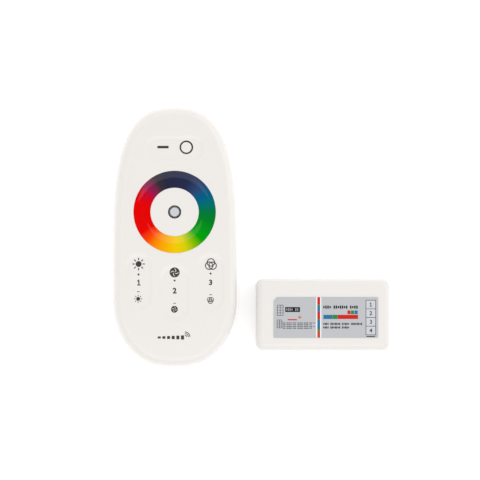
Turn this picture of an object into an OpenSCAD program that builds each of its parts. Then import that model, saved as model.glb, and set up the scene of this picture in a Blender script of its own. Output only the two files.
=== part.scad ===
// Lighting controller set: a touch handset and the receiver box that it steers.
// Millimetres, +Z up. Both lie on a table, and the origin is under the middle of the set.

/* [Set] */
// Free space between the handset and the receiver, seen from above
set_gap = 8.2; // [4:0.2:30]
// How far the receiver's middle lies below the handset's middle
receiver_drop = 33.6; // [20:0.2:38]

/* [Handset body] */
// Length of the handset
handset_l = 112; // [108:1:130]
// Greatest width of the handset
handset_w = 53.6; // [52:0.2:60]
// How far below its middle the handset is widest
widest_drop = 27; // [22:0.5:32]
// Wall of the front cover
cover_wall = 1.6; // [1.4:0.1:2]
// Wall of the rear shell and the battery door
shell_wall = 1.8; // [1.5:0.1:2.2]
// Width of the rounded edge round the flat front, seen from above
edge_w = 4; // [3:0.1:5]
// Height of that rounded edge
edge_drop = 5; // [4:0.1:5.4]
// How far the underside draws in to its flat
under_w = 9; // [7:0.1:11]
// Free height between the battery bay and the circuit board
inner_room = 3.1; // [2.6:0.1:5]

/* [Touch face] */
// How far the wheel's centre lies above the handset's middle
wheel_rise = 10.9; // [8:0.1:13]
// Outer radius of the colour wheel
wheel_r = 17.7; // [16:0.1:18.5]
// Inner radius of the colour wheel
wheel_hole_r = 10.4; // [8:0.1:11.5]
// Depth of the wheel's hollow
wheel_depth = 0.7; // [0.4:0.05:0.8]
// Thickness of the printed ring
film_t = 0.2; // [0.1:0.05:0.3]
// Radius of the indicator lens
lens_r = 2.1; // [1.5:0.1:2.4]
// Distance from the middle to the side key columns
column_x = 15.5; // [14.5:0.1:16]
// Depth of the key recesses
recess_depth = 0.3; // [0.15:0.05:0.5]

/* [Battery bay] */
// Diameter of a cell
cell_d = 10.5; // [9.5:0.1:12]
// Length of a cell with its nub
cell_l = 44.5; // [40:0.1:46]
// Room for a pressed battery spring
spring_l = 4.7; // [4:0.1:6]
// Wire of the battery springs
spring_wire = 0.6; // [0.4:0.05:0.7]
// Turns of a battery spring
spring_turns = 3; // [2:0.5:3]

/* [Receiver case] */
// Length of the receiver
case_l = 58; // [57:0.5:80]
// Width of the receiver
case_w = 31; // [30:0.5:45]
// Radius of its upright corners
case_corner_r = 3.2; // [3:0.1:5]
// Radius of its top edges
case_edge_r = 3; // [2:0.1:3]
// Wall of the receiver case
case_wall = 1.6; // [1.2:0.1:2]
// Length of the label
label_l = 45.6; // [30:0.1:48]
// Width of the label
label_w = 18; // [12:0.1:22]

/* [Terminals] */
// Spacing of the clamp poles
pole_pitch = 3.81; // [3.7:0.01:4]
// Height of a terminal plug
plug_h = 9.6; // [9.4:0.1:11]
// Length of the plug's clamp body
plug_body_l = 8; // [7.8:0.1:9]
// Length of the plug's nose
plug_nose_l = 7.2; // [7:0.1:8]
// Height of a terminal header
header_h = 8.4; // [8:0.1:9]

/* [Hidden] */

// One overrun serves all cuts, and one small fit serves all seats
overrun = 1;
seat_fit = 0.1;
press_fit = 0.02;

// Outline of the handset: powers of its ovals above and below the widest place
top_width_power_share = 2.6;
top_length_power_share = 4.3;
bottom_width_power_share = 2.4;
bottom_length_power_share = 2;
outline_steps = 64;
outline_turn = 360 / outline_steps;
normal_turn = outline_turn / 4;
edge_steps = 6;
edge_turn = 90 / edge_steps;

// Handset battery bay
cell_space = 0.5;
cell_side = 0.5;
cell_lift = 0.3;
roof_gap = 0.4;
bay_wall = 1.2;
bay_rise = 11.5;
plate_t = 0.4;
bay_w = 2 * cell_d + cell_space + 2 * cell_side;
bay_l = cell_l + spring_l + 2 * plate_t;
bay_y = -handset_l / 2 + bay_rise;
bay_end_y = bay_y + bay_l;
bay_roof_z = shell_wall + cell_lift + cell_d + roof_gap;
parting_z = bay_roof_z + bay_wall;
cell_x = (cell_d + cell_space) / 2;
cell_z = shell_wall + cell_lift + cell_d / 2;
plate_w = 7.6;
tab_leg_w = 2;
spring_sides = 6;
spring_rings = 8;
spring_base_r = 3.4;
spring_tip_r = 2.6;
nub_r = 1.9;
nub_l = 0.8;

// Handset board and the height of the handset, stacked up from the cells
board_t = 1;
copper_t = 0.1;
board_z = parting_z + inner_room;
handset_h = board_z + board_t + copper_t + cover_wall;
board_play_in = 1.9;
board_inset = edge_w + board_play_in;
edge_z = handset_h - edge_drop;
lip_share = 0.75;
lip_h = lip_share * (edge_z - parting_z);
lip_t = 0.8;
lip_play = 0.1;

// Where the two halves of the set stand
set_l = handset_w + set_gap + case_l;
handset_x = (handset_w - set_l) / 2;
receiver_x = (set_l - case_l) / 2;

// Battery door and its rails
door_fit = 0.25;
door_rise = 5;
rail_t = 1.2;
rail_h = 0.9;
rail_play = 0.3;
side_wall = 2 * rail_t;
door_w = bay_w - 2 * door_fit;
grip_depth = 0.4;
grip_w = 0.8;
grip_l = 12;
grip_step = 2.2;
grips = 4;
grip_in = 8;

// Shell screws: half the spacing and the place of each pair
top_boss_x = 17;
top_boss_y = 34;
low_boss_x = 19.8;
low_boss_y = -36;
post_r = 2.9;
boss_r = 2.4;
screw_r = 1;
screw_head_r = 2;
screw_head_h = 1.4;
screw_seat_z = 7;
screw_l = 10.5;
pilot_play = 0.5;
screw_play = 0.2;
head_play = 0.3;
cross_w = 0.5;
cross_depth = 0.6;

// Touch face
bond_t = 0.05;
lens_flange = 0.6;
lens_h = 1.1;
lens_flange_h = 0.4;
top_pill = [25, 10.4];
top_pill_y = 38.2;
side_pill = [11.4, 24.2];
side_pill_y = -19.3;
middle_pill = [12.6, 24];
middle_pill_y = -24.1;
top_key_x = 5;
top_key_y = 38.7;
wheel_band = wheel_r - wheel_hole_r;
wheel_mid_r = (wheel_r + wheel_hole_r) / 2;
groove_r = (wheel_band * wheel_band / 4 + wheel_depth * wheel_depth) / (2 * wheel_depth);

// Receiver stack, from the table up
case_floor = 1.4;
standoff_h = 0.8;
case_board_t = 1.2;
plug_lift = 0.2;
window_play = 0.3;
case_board_z = case_floor + standoff_h;
case_top_board = case_board_z + case_board_t;
plug_z = case_top_board + plug_lift;
window_z = plug_z + plug_h + window_play;
ceiling_z = window_z + window_play;
case_h = ceiling_z + case_wall;
foot_r = 0.8;
corner_steps = 6;
case_lip_t = 0.7;
case_lip_h = 0.8;
boss_in = 5;
boss_room = 0.3;
post_extra = 0.5;
case_screw_r = 0.9;
case_screw_head_r = 1.7;
case_screw_head_h = 1;
case_screw_l = 7;
case_head_z = 1.4;
board_play = 0.5;
case_board_l = case_l - 2 * (case_wall + board_play);
case_board_w = case_w - 2 * (case_wall + board_play);
small_room = 0.3;
standoff_w = 2;
standoff_x = 12;
clamp_rib = [1.4, 1.2];
clamp_ribs_in = [21.2, 33];
label_t = 0.15;
label_cut = 1.4;
label_shift = [1.4, -1.2];

// Terminals, from the outer face of the case inwards
output_poles = 4;
input_poles = 2;
plug_recess = 0.4;
plug_gap = 0.2;
plug_margin = 0.8;
header_margin = 1.2;
header_back = 1.6;
header_wall = 0.8;
nose_fit = 0.15;
plug_end_x = -plug_recess;
shoulder_x = plug_end_x - plug_body_l;
nose_x = shoulder_x - plug_nose_l;
pocket_x = nose_x - plug_gap;
header_x = pocket_x - header_back;
header_l = shoulder_x - plug_gap - header_x;
pin_t = 1;
pin_fit = 0.05;
pin_reach = 5.2;
pin_tail = 0.5;
pin_z = case_top_board + header_h / 2;
pin_hole_r = 0.8;
contact_t = 0.6;
contact_l = 5.6;
contact_lead = 0.4;
contact_w = 2.2;
tongue_w = 1.7;
tongue_z = pin_z + pin_t / 2 + pin_fit;
tongue_top = tongue_z + contact_t;
plug_floor = 0.8;
plug_roof = 0.5;
cage_l = 3.4;
cage_w = 2.9;
cage_play = 0.15;
cage_floor_t = 0.6;
cage_roof_t = 0.9;
cage_side_t = 0.45;
cage_z = plug_z + plug_floor + cage_play;
cage_roof_z = tongue_top + cage_play;
cage_top = cage_roof_z + cage_roof_t;
clamp_share = 0.525;
clamp_x = plug_end_x - clamp_share * plug_body_l;
clamp_screw_r = 0.9;
clamp_head_r = 1.5;
clamp_head_h = 0.65;
clamp_head_z = plug_z + plug_h - plug_roof - pin_fit - clamp_head_h;
driver_hole_r = 1.3;
slot_w = 0.4;
slot_depth = 0.35;
wire_r = cage_w / 2 - cage_side_t;
wire_mouth_r = 1.5;
wire_mouth_l = 0.6;
wire_z = (cage_z + cage_floor_t + tongue_z) / 2;

// Sizes of the parts on both boards
lead_l = 0.8;
lead_w = 0.4;
lead_t = 0.25;
lead_pitch = 1.27;
crystal = [3.2, 2.5, 0.8];
small_part = [1.6, 0.8, 0.5];
transistor = [4.1, 4.9, 1.6];
transistor_legs = 4;
transistors = 3;
capacitor_r = 2.5;
capacitor_h = 7.7;
capacitor_foot = [5.4, 5.4, 0.8];
regulator = [6.5, 3.5, 1.6];
regulator_step = 2;
regulator_tab_w = 3.2;
receiver_chip_size = [3.9, 4.9, 1.5];
receiver_chip_legs = 4;
radio_board = [12, 5.1, 0.8];
radio_chip = [3.6, 3.6, 0.9];
radio_foot = [1.2, radio_board[1], 0.6];
radio_chip_shift = [-3, 0];
radio_crystal_shift = [2.4, 0];

// Places on the receiver board, from its left end, its long edges and the two terminals
input_in = 13.2;
input_x = input_in - case_l / 2;
edge_room = 1.4;
edge_y = case_board_w / 2 - edge_room;
regulator_in = 5.2;
transistor_room = 0.55;
transistor_step = 5.4;
transistor_x = case_l / 2 + header_x - pin_t - transistor_room - lead_l - transistor[0] / 2;
case_small_parts = 4;
case_small_step = 1.2;

// Parts on the handset board, as places from the handset's middle
touch_chip_size = [5.3, 7.4, 1.2];
touch_chip_at = [-12, 22];
touch_chip_legs = 5;
radio_chip_size = [4, 4, 0.9];
radio_chip_at = [6, 24];
radio_chip_legs = 3;
small_parts = 6;
small_part_step = 2.6;
small_parts_at = [0, 30];
crystal_at = [13, 24];
led = [1.6, 0.8, 0.5];
electrode_gap = 0.5;
wheel_electrodes = 8;
key_electrode = [6, 5, copper_t];
key_step = 7.3;
side_key_y = -19.4;
middle_key_y = -23.4;

// Plastics and metals as preview colours
glossy_white = [0.95, 0.94, 0.92];
label_grey = [0.78, 0.79, 0.81];
board_green = [0.1, 0.4, 0.25];
copper = [0.8, 0.5, 0.3];
tin = [0.75, 0.75, 0.77];
chip_black = [0.12, 0.12, 0.13];
terminal_green = [0.15, 0.5, 0.3];
window_grey = [0.78, 0.82, 0.87];
wheel_red = [0.85, 0.08, 0.15];

// Half width of the handset at a share of its reach above or below the widest place
function oval_x(share, width_power, length_power) =
    handset_w / 2 * pow(max(0, 1 - pow(abs(share), length_power)), 1 / width_power);

// Point of the handset's outline at a turn of t degrees
function oval_point(t) =
    sin(t) > 0
    ? [sign(cos(t)) * oval_x(sin(t), top_width_power_share, top_length_power_share),
       -widest_drop + sin(t) * (handset_l / 2 + widest_drop)]
    : [sign(cos(t)) * oval_x(sin(t), bottom_width_power_share, bottom_length_power_share),
       -widest_drop + sin(t) * (handset_l / 2 - widest_drop)];

// Outline points with their outward normals, as [x, y, normal x, normal y]
function with_normal(t) =
    let (p = oval_point(t), d = oval_point(t + normal_turn) - oval_point(t - normal_turn))
    [p[0], p[1], d[1] / norm(d), -d[0] / norm(d)];
handset_outline = [for (i = [0 : outline_steps - 1]) with_normal(i * outline_turn)];

// Rounded oblong of the receiver case, with outward normals
case_outline = [
    for (k = [0 : 3], j = [0 : corner_steps])
        let (t = 90 * (k + j / corner_steps), side_x = k == 0 || k == 3 ? 1 : -1, side_y = k < 2 ? 1 : -1)
        [side_x * (case_l / 2 - case_corner_r) + case_corner_r * cos(t),
         side_y * (case_w / 2 - case_corner_r) + case_corner_r * sin(t), cos(t), sin(t)]
];

// An outline drawn in by inset, at height z
function ring(outline, inset, z) =
    [for (p = outline) [p[0] - inset * p[2], p[1] - inset * p[3], z]];

// Rings of a quarter oval edge: drawn in by width over height, rising from z and turning inwards
function rising_edge(outline, inset, width, z, height) = [
    for (k = [0 : edge_steps])
        ring(outline, inset + width * (1 - cos(k * edge_turn)), z + height * sin(k * edge_turn))
];

// Rings of a quarter oval underside: from its flat at z up to height above it
function under_edge(outline, inset, width, z, height) = [
    for (k = [edge_steps : -1 : 0])
        ring(outline, inset + width * (1 - cos(k * edge_turn)), z + height * (1 - sin(k * edge_turn)))
];

// Closed solid through rings that each have as many points
module skin(rings) {
    n = len(rings[0]);
    last = len(rings) - 1;
    low_half = [
        for (j = [0 : last - 1], i = [0 : n - 1]) [j * n + i, (j + 1) * n + i, (j + 1) * n + (i + 1) % n]
    ];
    high_half = [
        for (j = [0 : last - 1], i = [0 : n - 1])
            [j * n + i, (j + 1) * n + (i + 1) % n, j * n + (i + 1) % n]
    ];
    first_end = [for (i = [0 : n - 1]) i];
    last_end = [for (i = [n - 1 : -1 : 0]) last * n + i];
    sides = concat(low_half, high_half);
    polyhedron(points = [for (r = rings) each r], faces = concat([first_end], sides, [last_end]));
}

// Block with its middle in x and y at the place given, standing on z
module block(size, at = [0, 0], z = 0) {
    translate([at[0] - size[0] / 2, at[1] - size[1] / 2, z]) cube(size);
}

// Round bar standing on z
module post(r, h, at = [0, 0], z = 0) {
    translate([at[0], at[1], z]) cylinder(r = r, h = h, $fn = 48);
}

// Long hole with round ends, standing on z
module pill(size, at, z, h) {
    r = min(size[0], size[1]) / 2;
    far = [size[0] / 2 - r, size[1] / 2 - r];
    translate([at[0], at[1], z]) linear_extrude(height = h) {
        square([far[0] > 0 ? 2 * far[0] : 2 * r, far[1] > 0 ? 2 * far[1] : 2 * r], center = true);
        for (s = [-1, 1]) translate([s * far[0], s * far[1]]) circle(r = r, $fn = 48);
    }
}

module at_handset() {
    translate([handset_x, 0, 0]) children();
}

module at_receiver() {
    translate([receiver_x, -receiver_drop, 0]) children();
}

// Terminal places: x runs out of the case, and 0 is its outer face
module output_side() {
    translate([case_l / 2, 0, 0]) children();
}

module input_side() {
    translate([input_x, -case_w / 2, 0]) rotate([0, 0, -90]) children();
}

module at_output() {
    at_receiver() output_side() children();
}

module at_input() {
    at_receiver() input_side() children();
}

// A list turned round
function back(list) = [for (i = [len(list) - 1 : -1 : 0]) list[i]];

// The four screw places of the handset and of the receiver case
handset_bosses = [
    for (s = [-1, 1], p = [[top_boss_x, top_boss_y], [low_boss_x, low_boss_y]]) [s * p[0], p[1]]
];

function plug_w(poles) = poles * pole_pitch + plug_margin;
function header_w(poles) = poles * pole_pitch + header_margin;

// Middle of the board's free space between the input terminal and the transistors
free_x = (input_x + header_w(input_poles) / 2 + transistor_x - transistor[0] / 2 - lead_l) / 2;

// The receiver's screw posts stand midway between the widest terminal and the side walls
post_space = [plug_w(output_poles) / 2 + window_play, case_w / 2 - case_wall];
case_boss_y = (post_space[0] + post_space[1]) / 2;
case_boss_r = (post_space[1] - post_space[0]) / 2 - boss_room;
case_post_r = case_boss_r + post_extra;
case_bosses = [for (s = [-1, 1], t = [-1, 1]) [s * (case_l / 2 - boss_in), t * case_boss_y]];

// The board's corners are notched round those posts, and its small parts start beside a notch
notch_l = case_board_l / 2 - (case_l / 2 - boss_in) + case_post_r + boss_room;
notch_w = case_board_w / 2 - case_boss_y + case_post_r + boss_room;
case_small_x = notch_l + small_room + small_part[1] / 2 - case_board_l / 2;

// Middle of pole i of a terminal, across the case
function pole_y(i, poles) = (i - (poles + 1) / 2) * pole_pitch;

// Front cover with its inner edge, the seat for the shell's lip and its rounded outer edge
module cover_skin() {
    inner = rising_edge(handset_outline, cover_wall, edge_w - cover_wall, edge_z, edge_drop - cover_wall);
    lip_in = shell_wall - lip_t - seat_fit;
    skin(concat(
        back(inner),
        [ring(handset_outline, cover_wall, parting_z + lip_h + lip_play),
         ring(handset_outline, lip_in, parting_z + lip_h + lip_play),
         ring(handset_outline, lip_in, parting_z),
         ring(handset_outline, 0, parting_z)],
        rising_edge(handset_outline, 0, edge_w, edge_z, edge_drop)
    ));
}

// Section of the wheel's hollow: the band above a circle's low arc
module hollow_section(depth_r, top) {
    intersection() {
        translate([wheel_mid_r, handset_h - wheel_depth + groove_r]) circle(r = depth_r, $fn = 96);
        translate([wheel_hole_r, handset_h - 2 * wheel_depth]) square([wheel_band, 2 * wheel_depth + top]);
    }
}

module touch_recesses() {
    z = handset_h - recess_depth;
    h = recess_depth + overrun;
    pill(top_pill, [0, top_pill_y], z, h);
    pill(middle_pill, [0, middle_pill_y], z, h);
    for (s = [-1, 1]) pill(side_pill, [s * column_x, side_pill_y], z, h);
}

module front_cover() color(glossy_white) at_handset() {
    inner_z = handset_h - cover_wall;
    lens_seat_z = handset_h - lens_h + lens_flange_h;
    pilot_end_z = screw_seat_z + screw_l + pilot_play;
    difference() {
        union() {
            cover_skin();
            for (p = handset_bosses) post(boss_r, inner_z + cover_wall / 2 - parting_z, p, parting_z);
        }
        translate([0, wheel_rise, 0]) {
            rotate_extrude($fn = 96) hollow_section(groove_r + film_t + bond_t, overrun);
            post(lens_r + seat_fit, cover_wall + overrun, [0, 0], inner_z);
            post(lens_r + lens_flange + seat_fit, lens_seat_z - inner_z + overrun, [0, 0], inner_z - overrun);
        }
        touch_recesses();
        for (p = handset_bosses)
            post(screw_r + press_fit, pilot_end_z - parting_z + overrun, p, parting_z - overrun);
    }
}

// Printed film ring that lies in the wheel's hollow
module wheel_ring() color(wheel_red) at_handset() translate([0, wheel_rise, 0])
    rotate_extrude($fn = 96) difference() {
        hollow_section(groove_r + film_t, 0);
        translate([wheel_mid_r, handset_h - wheel_depth + groove_r]) circle(r = groove_r, $fn = 96);
    }

module indicator_lens() color(window_grey) at_handset() translate([0, wheel_rise, 0]) {
    post(lens_r, lens_h, [0, 0], handset_h - lens_h);
    post(lens_r + lens_flange, lens_flange_h, [0, 0], handset_h - lens_h);
}

// The rear half as one solid block, with the lip that enters the front cover
module rear_block() {
    skin(concat(
        under_edge(handset_outline, 0, under_w, 0, parting_z),
        [ring(handset_outline, shell_wall - lip_t, parting_z),
         ring(handset_outline, shell_wall - lip_t, parting_z + lip_h)]
    ));
}

// The room inside the rear half
module rear_room() {
    skin(concat(
        under_edge(handset_outline, shell_wall, under_w - shell_wall, shell_wall, parting_z - shell_wall),
        [ring(handset_outline, shell_wall, parting_z + lip_h + overrun)]
    ));
}

// A box across the bay: half width, from y to y, from z to z
module across(half, y0, y1, z0, z1) {
    translate([-half, y0, z0]) cube([2 * half, y1 - y0, z1 - z0]);
}

module rear_shell() color(glossy_white) at_handset() {
    end_y = -handset_l / 2 - overrun;
    rail_top = shell_wall + 2 * rail_play + rail_h;
    difference() {
        rear_block();
        difference() {
            rear_room();
            for (p = handset_bosses) post(post_r, parting_z - seat_fit, p);
            across(bay_w / 2 + side_wall, bay_y - bay_wall, bay_end_y + bay_wall, 0, parting_z);
        }
        across(bay_w / 2, bay_y, bay_end_y, -overrun, bay_roof_z);
        across(bay_w / 2, end_y, bay_y + overrun, -overrun, door_rise);
        across(bay_w / 2 + rail_t + door_fit, end_y, bay_end_y, shell_wall, rail_top);
        for (s = [-1, 1]) translate([s * cell_x, bay_end_y, bay_roof_z])
            across(tab_leg_w / 2 + seat_fit, -plate_t - seat_fit, seat_fit, -overrun, bay_wall + overrun);
        for (p = handset_bosses) {
            post(screw_head_r + head_play, screw_seat_z + overrun, p, -overrun);
            post(screw_r + screw_play, parting_z, p, screw_seat_z - overrun);
        }
    }
}

// The door's two rails, which run in the bay's side walls
module door_rails() {
    y0 = -handset_l / 2;
    y1 = bay_end_y - door_fit;
    rail_z = shell_wall + rail_play;
    for (s = [-1, 1]) {
        translate([s * (door_w - rail_t) / 2, 0, 0]) across(rail_t / 2, y0, y1, 0, rail_z + rail_h);
        translate([s * door_w / 2, 0, 0]) across(rail_t, y0, y1, rail_z, rail_z + rail_h);
    }
}

module battery_door() color(glossy_white) at_handset() difference() {
    intersection() {
        rear_block();
        union() {
            across(door_w / 2, -handset_l / 2, bay_end_y - door_fit, 0, door_rise - door_fit);
            door_rails();
        }
    }
    difference() {
        rear_room();
        door_rails();
    }
    for (i = [0 : grips - 1])
        block([grip_l, grip_w, grip_depth + overrun], [0, bay_end_y - grip_in - i * grip_step], -overrun);
}

// A cell lying along y, with its nub towards the side that end says
module cell(x, end, y) {
    translate([x, y, cell_z]) rotate([-90 * end, 0, 0]) {
        cylinder(r = cell_d / 2, h = cell_l - nub_l, $fn = 64);
        cylinder(r = nub_r, h = cell_l, $fn = 48);
    }
}

module battery_left() color("dimgray") at_handset() cell(-cell_x, -1, bay_y + plate_t + cell_l);

module battery_right() color("dimgray") at_handset() cell(cell_x, 1, bay_end_y - plate_t - cell_l);

// Path of a pressed spring along y: straight for one wire, its curls, and straight again
function spring_path() =
    let (steps = spring_turns * spring_rings, run = spring_l - 2 * spring_wire)
    concat(
        [[spring_base_r, 0, 0]],
        [for (i = [0 : steps])
            let (r = spring_base_r + (spring_tip_r - spring_base_r) * i / steps, t = 360 * i / spring_rings)
            [r * cos(t), spring_wire + run * i / steps, r * sin(t)]],
        [[spring_tip_r * cos(360 * spring_turns), spring_l, spring_tip_r * sin(360 * spring_turns)]]
    );

// A ring of the spring's wire round point i of its path
function wire_ring(path, i) =
    let (
        last = len(path) - 1,
        along = path[min(i + 1, last)] - path[max(i - 1, 0)],
        ahead = along / norm(along),
        side = cross(ahead, [path[i][0], 0, path[i][2]]),
        v = side / norm(side),
        u = cross(v, ahead)
    )
    [for (k = [0 : spring_sides - 1])
        let (t = 360 * k / spring_sides) path[i] + spring_wire / 2 * (cos(t) * u + sin(t) * v)];

// Least gap between one curl and the next
function least_gap(path) =
    let (last = len(path) - 1)
    min([for (i = [0 : last], j = [i + spring_rings / 2 : 1 : last]) norm(path[i] - path[j])]) - spring_wire;
echo(least_gap_between_spring_curls = least_gap(spring_path()));

module battery_spring() {
    path = spring_path();
    rotate([0, -90, 0]) skin([for (i = [0 : len(path) - 1]) wire_ring(path, i)]);
}

module battery_springs() color(tin) at_handset() {
    translate([-cell_x, bay_end_y - plate_t, cell_z]) rotate([0, 0, 180]) battery_spring();
    translate([cell_x, bay_y + plate_t, cell_z]) battery_spring();
}

module battery_tabs() color(tin) at_handset() for (s = [-1, 1]) translate([s * cell_x, bay_end_y, 0]) {
    across(plate_w / 2, -plate_t, 0, cell_z - plate_w / 2, cell_z + plate_w / 2);
    across(tab_leg_w / 2, -plate_t, 0, cell_z, board_z);
}

module bridge_contact() color(tin) at_handset()
    across(cell_x + plate_w / 2, bay_y, bay_y + plate_t, door_rise + seat_fit, cell_z + plate_w / 2);

module handset_board() color(board_green) at_handset() difference() {
    translate([0, 0, board_z]) linear_extrude(height = board_t)
        polygon([for (p = ring(handset_outline, board_inset, 0)) [p[0], p[1]]]);
    for (p = handset_bosses) post(boss_r + head_play, board_t + 2 * overrun, p, board_z - overrun);
}

module touch_electrodes() color(copper) at_handset() {
    z = board_z + board_t;
    turn = 360 / wheel_electrodes;
    free_turn = electrode_gap / wheel_hole_r * 180 / PI;
    for (k = [0 : wheel_electrodes - 1]) translate([0, wheel_rise, z]) rotate([0, 0, k * turn])
        rotate_extrude(angle = turn - free_turn, $fn = 96)
            translate([wheel_hole_r, 0]) square([wheel_band, copper_t]);
    for (s = [-1, 1]) block(key_electrode, [s * top_key_x, top_key_y], z);
    for (k = [-1 : 1]) {
        block(key_electrode, [0, middle_key_y + k * key_step], z);
        for (s = [-1, 1]) block(key_electrode, [s * column_x, side_key_y + k * key_step], z);
    }
}

// A chip on legs; it stands on z, or hangs below z where face is -1
module chip(size, at, z, legs, face = 1) {
    body_z = face > 0 ? z : z - size[2];
    leg_z = face > 0 ? z : z - lead_t;
    color(chip_black) block(size, at, body_z);
    for (s = [-1, 1], i = [0 : legs - 1])
        color(tin) block([lead_l, lead_w, lead_t],
            [at[0] + s * (size[0] + lead_l) / 2, at[1] + (i - (legs - 1) / 2) * lead_pitch], leg_z);
}

module touch_chip() at_handset() chip(touch_chip_size, touch_chip_at, board_z, touch_chip_legs, -1);

module handset_radio_chip() at_handset()
    chip(radio_chip_size, radio_chip_at, board_z, radio_chip_legs, -1);

module handset_crystal() color(tin) at_handset() block(crystal, crystal_at, board_z - crystal[2]);

module indicator_led() color("white") at_handset() block(led, [0, wheel_rise], board_z + board_t);

module handset_chip_parts() color(copper) at_handset() for (i = [0 : small_parts - 1]) {
    x = small_parts_at[0] + (i - (small_parts - 1) / 2) * small_part_step;
    block(small_part, [x, small_parts_at[1]], board_z - small_part[2]);
}

// Pan head screw pointing up: its head hangs below z
module screw(head_r, head_h, shank_r, shank_l, at, z) {
    color("gray") difference() {
        union() {
            post(head_r, head_h, at, z - head_h);
            post(shank_r, shank_l, at, z);
        }
        block([2 * head_r - cross_w, cross_w, cross_depth + overrun], at, z - head_h - overrun);
        block([cross_w, 2 * head_r - cross_w, cross_depth + overrun], at, z - head_h - overrun);
    }
}

module shell_screws() at_handset() for (p = handset_bosses)
    screw(screw_head_r, screw_head_h, screw_r, screw_l, p, screw_seat_z);

// Opening in the case wall for a plug, from z0 to z1
module window(poles, z0, z1) {
    block([2 * (case_wall + overrun), plug_w(poles) + 2 * window_play, z1 - z0], [0, 0], z0);
}

module windows(z0, z1) {
    output_side() window(output_poles, z0, z1);
    input_side() window(input_poles, z0, z1);
}

module receiver_base() color(glossy_white) at_receiver() difference() {
    skin(concat(
        under_edge(case_outline, 0, foot_r, 0, foot_r),
        [ring(case_outline, 0, case_top_board),
         ring(case_outline, case_wall - case_lip_t, case_top_board),
         ring(case_outline, case_wall - case_lip_t, case_top_board + case_lip_h)]
    ));
    difference() {
        skin([ring(case_outline, case_wall, case_floor),
              ring(case_outline, case_wall, case_top_board + case_lip_h + overrun)]);
        for (p = case_bosses) post(case_post_r, case_top_board - seat_fit, p);
        for (s = [-1, 1], t = [-1, 1])
            block([standoff_w, standoff_w, case_board_z],
                [s * standoff_x, t * (case_board_w - standoff_w) / 2]);
    }
    windows(case_top_board, case_h);
    for (p = case_bosses) {
        post(case_screw_head_r + head_play, case_head_z + overrun, p, -overrun);
        post(case_screw_r + screw_play, case_top_board, p, case_head_z - overrun);
    }
}

module receiver_cover() color(glossy_white) at_receiver() {
    spring_z = case_h - case_edge_r;
    inner_r = case_edge_r - case_wall;
    seat_z = case_top_board + case_lip_h + seat_fit;
    seat_in = case_wall - case_lip_t - seat_fit;
    boss_h = ceiling_z + case_wall / 2 - case_top_board;
    rib_y = (case_board_w - clamp_rib[1]) / 2;
    difference() {
        union() {
            skin(concat(
                back(rising_edge(case_outline, case_wall, inner_r, spring_z, inner_r)),
                [ring(case_outline, case_wall, seat_z), ring(case_outline, seat_in, seat_z),
                 ring(case_outline, seat_in, case_top_board), ring(case_outline, 0, case_top_board)],
                rising_edge(case_outline, 0, case_edge_r, spring_z, case_edge_r)
            ));
            for (p = case_bosses) post(case_boss_r, boss_h, p, case_top_board);
            for (x = clamp_ribs_in, t = [-1, 1])
                block([clamp_rib[0], clamp_rib[1], boss_h], [x - case_l / 2, t * rib_y], case_top_board);
        }
        windows(case_top_board - overrun, window_z);
        for (p = case_bosses)
            post(case_screw_r + press_fit, case_screw_l + overrun, p, case_head_z);
    }
}

module receiver_label() color(label_grey) at_receiver() translate([label_shift[0], label_shift[1], case_h])
    linear_extrude(height = label_t) polygon([
        [-label_l / 2, -label_w / 2], [label_l / 2, -label_w / 2], [label_l / 2, label_w / 2],
        [-label_l / 2 + label_cut, label_w / 2], [-label_l / 2, label_w / 2 - label_cut]
    ]);

module pin_holes(poles) {
    pin_x = header_x - pin_t / 2;
    for (i = [1 : poles])
        post(pin_hole_r, case_board_t + 2 * overrun, [pin_x, pole_y(i, poles)], case_board_z - overrun);
}

// Board with its corners notched round the screw posts
module receiver_board() color(board_green) difference() {
    at_receiver() block([case_board_l, case_board_w, case_board_t], [0, 0], case_board_z);
    at_receiver() for (s = [-1, 1], t = [-1, 1])
        block([2 * notch_l, 2 * notch_w, case_board_t + 2 * overrun],
            [s * case_board_l / 2, t * case_board_w / 2], case_board_z - overrun);
    at_output() pin_holes(output_poles);
    at_input() pin_holes(input_poles);
}

// Socket on the board that a terminal plug is pushed into
module header(poles) color(terminal_green) difference() {
    half = header_w(poles) / 2;
    top = case_top_board + header_h;
    pin_seat = pin_t / 2 + press_fit;
    bar(header_x, header_x + header_l, half, case_top_board, top);
    bar(pocket_x, shoulder_x, half - header_wall, case_top_board + header_wall, top - header_wall);
    for (i = [1 : poles]) translate([0, pole_y(i, poles), 0])
        bar(header_x - overrun, pocket_x + overrun, pin_seat, pin_z - pin_seat, pin_z + pin_seat);
}

// Bent pins of a header, from the pocket down through the board
module header_pins(poles) color(tin) for (i = [1 : poles]) translate([0, pole_y(i, poles), 0]) {
    bend_x = header_x - pin_t;
    top = pin_z + pin_t / 2;
    bar(bend_x, pocket_x + pin_reach, pin_t / 2, pin_z - pin_t / 2, top);
    bar(bend_x, header_x, pin_t / 2, case_board_z - pin_tail, top);
}

// Block along x round a pole: from x0 to x1, half as wide as half says, from z0 to z1
module bar(x0, x1, half, z0, z1) {
    translate([x0, -half, z0]) cube([x1 - x0, 2 * half, z1 - z0]);
}

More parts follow.
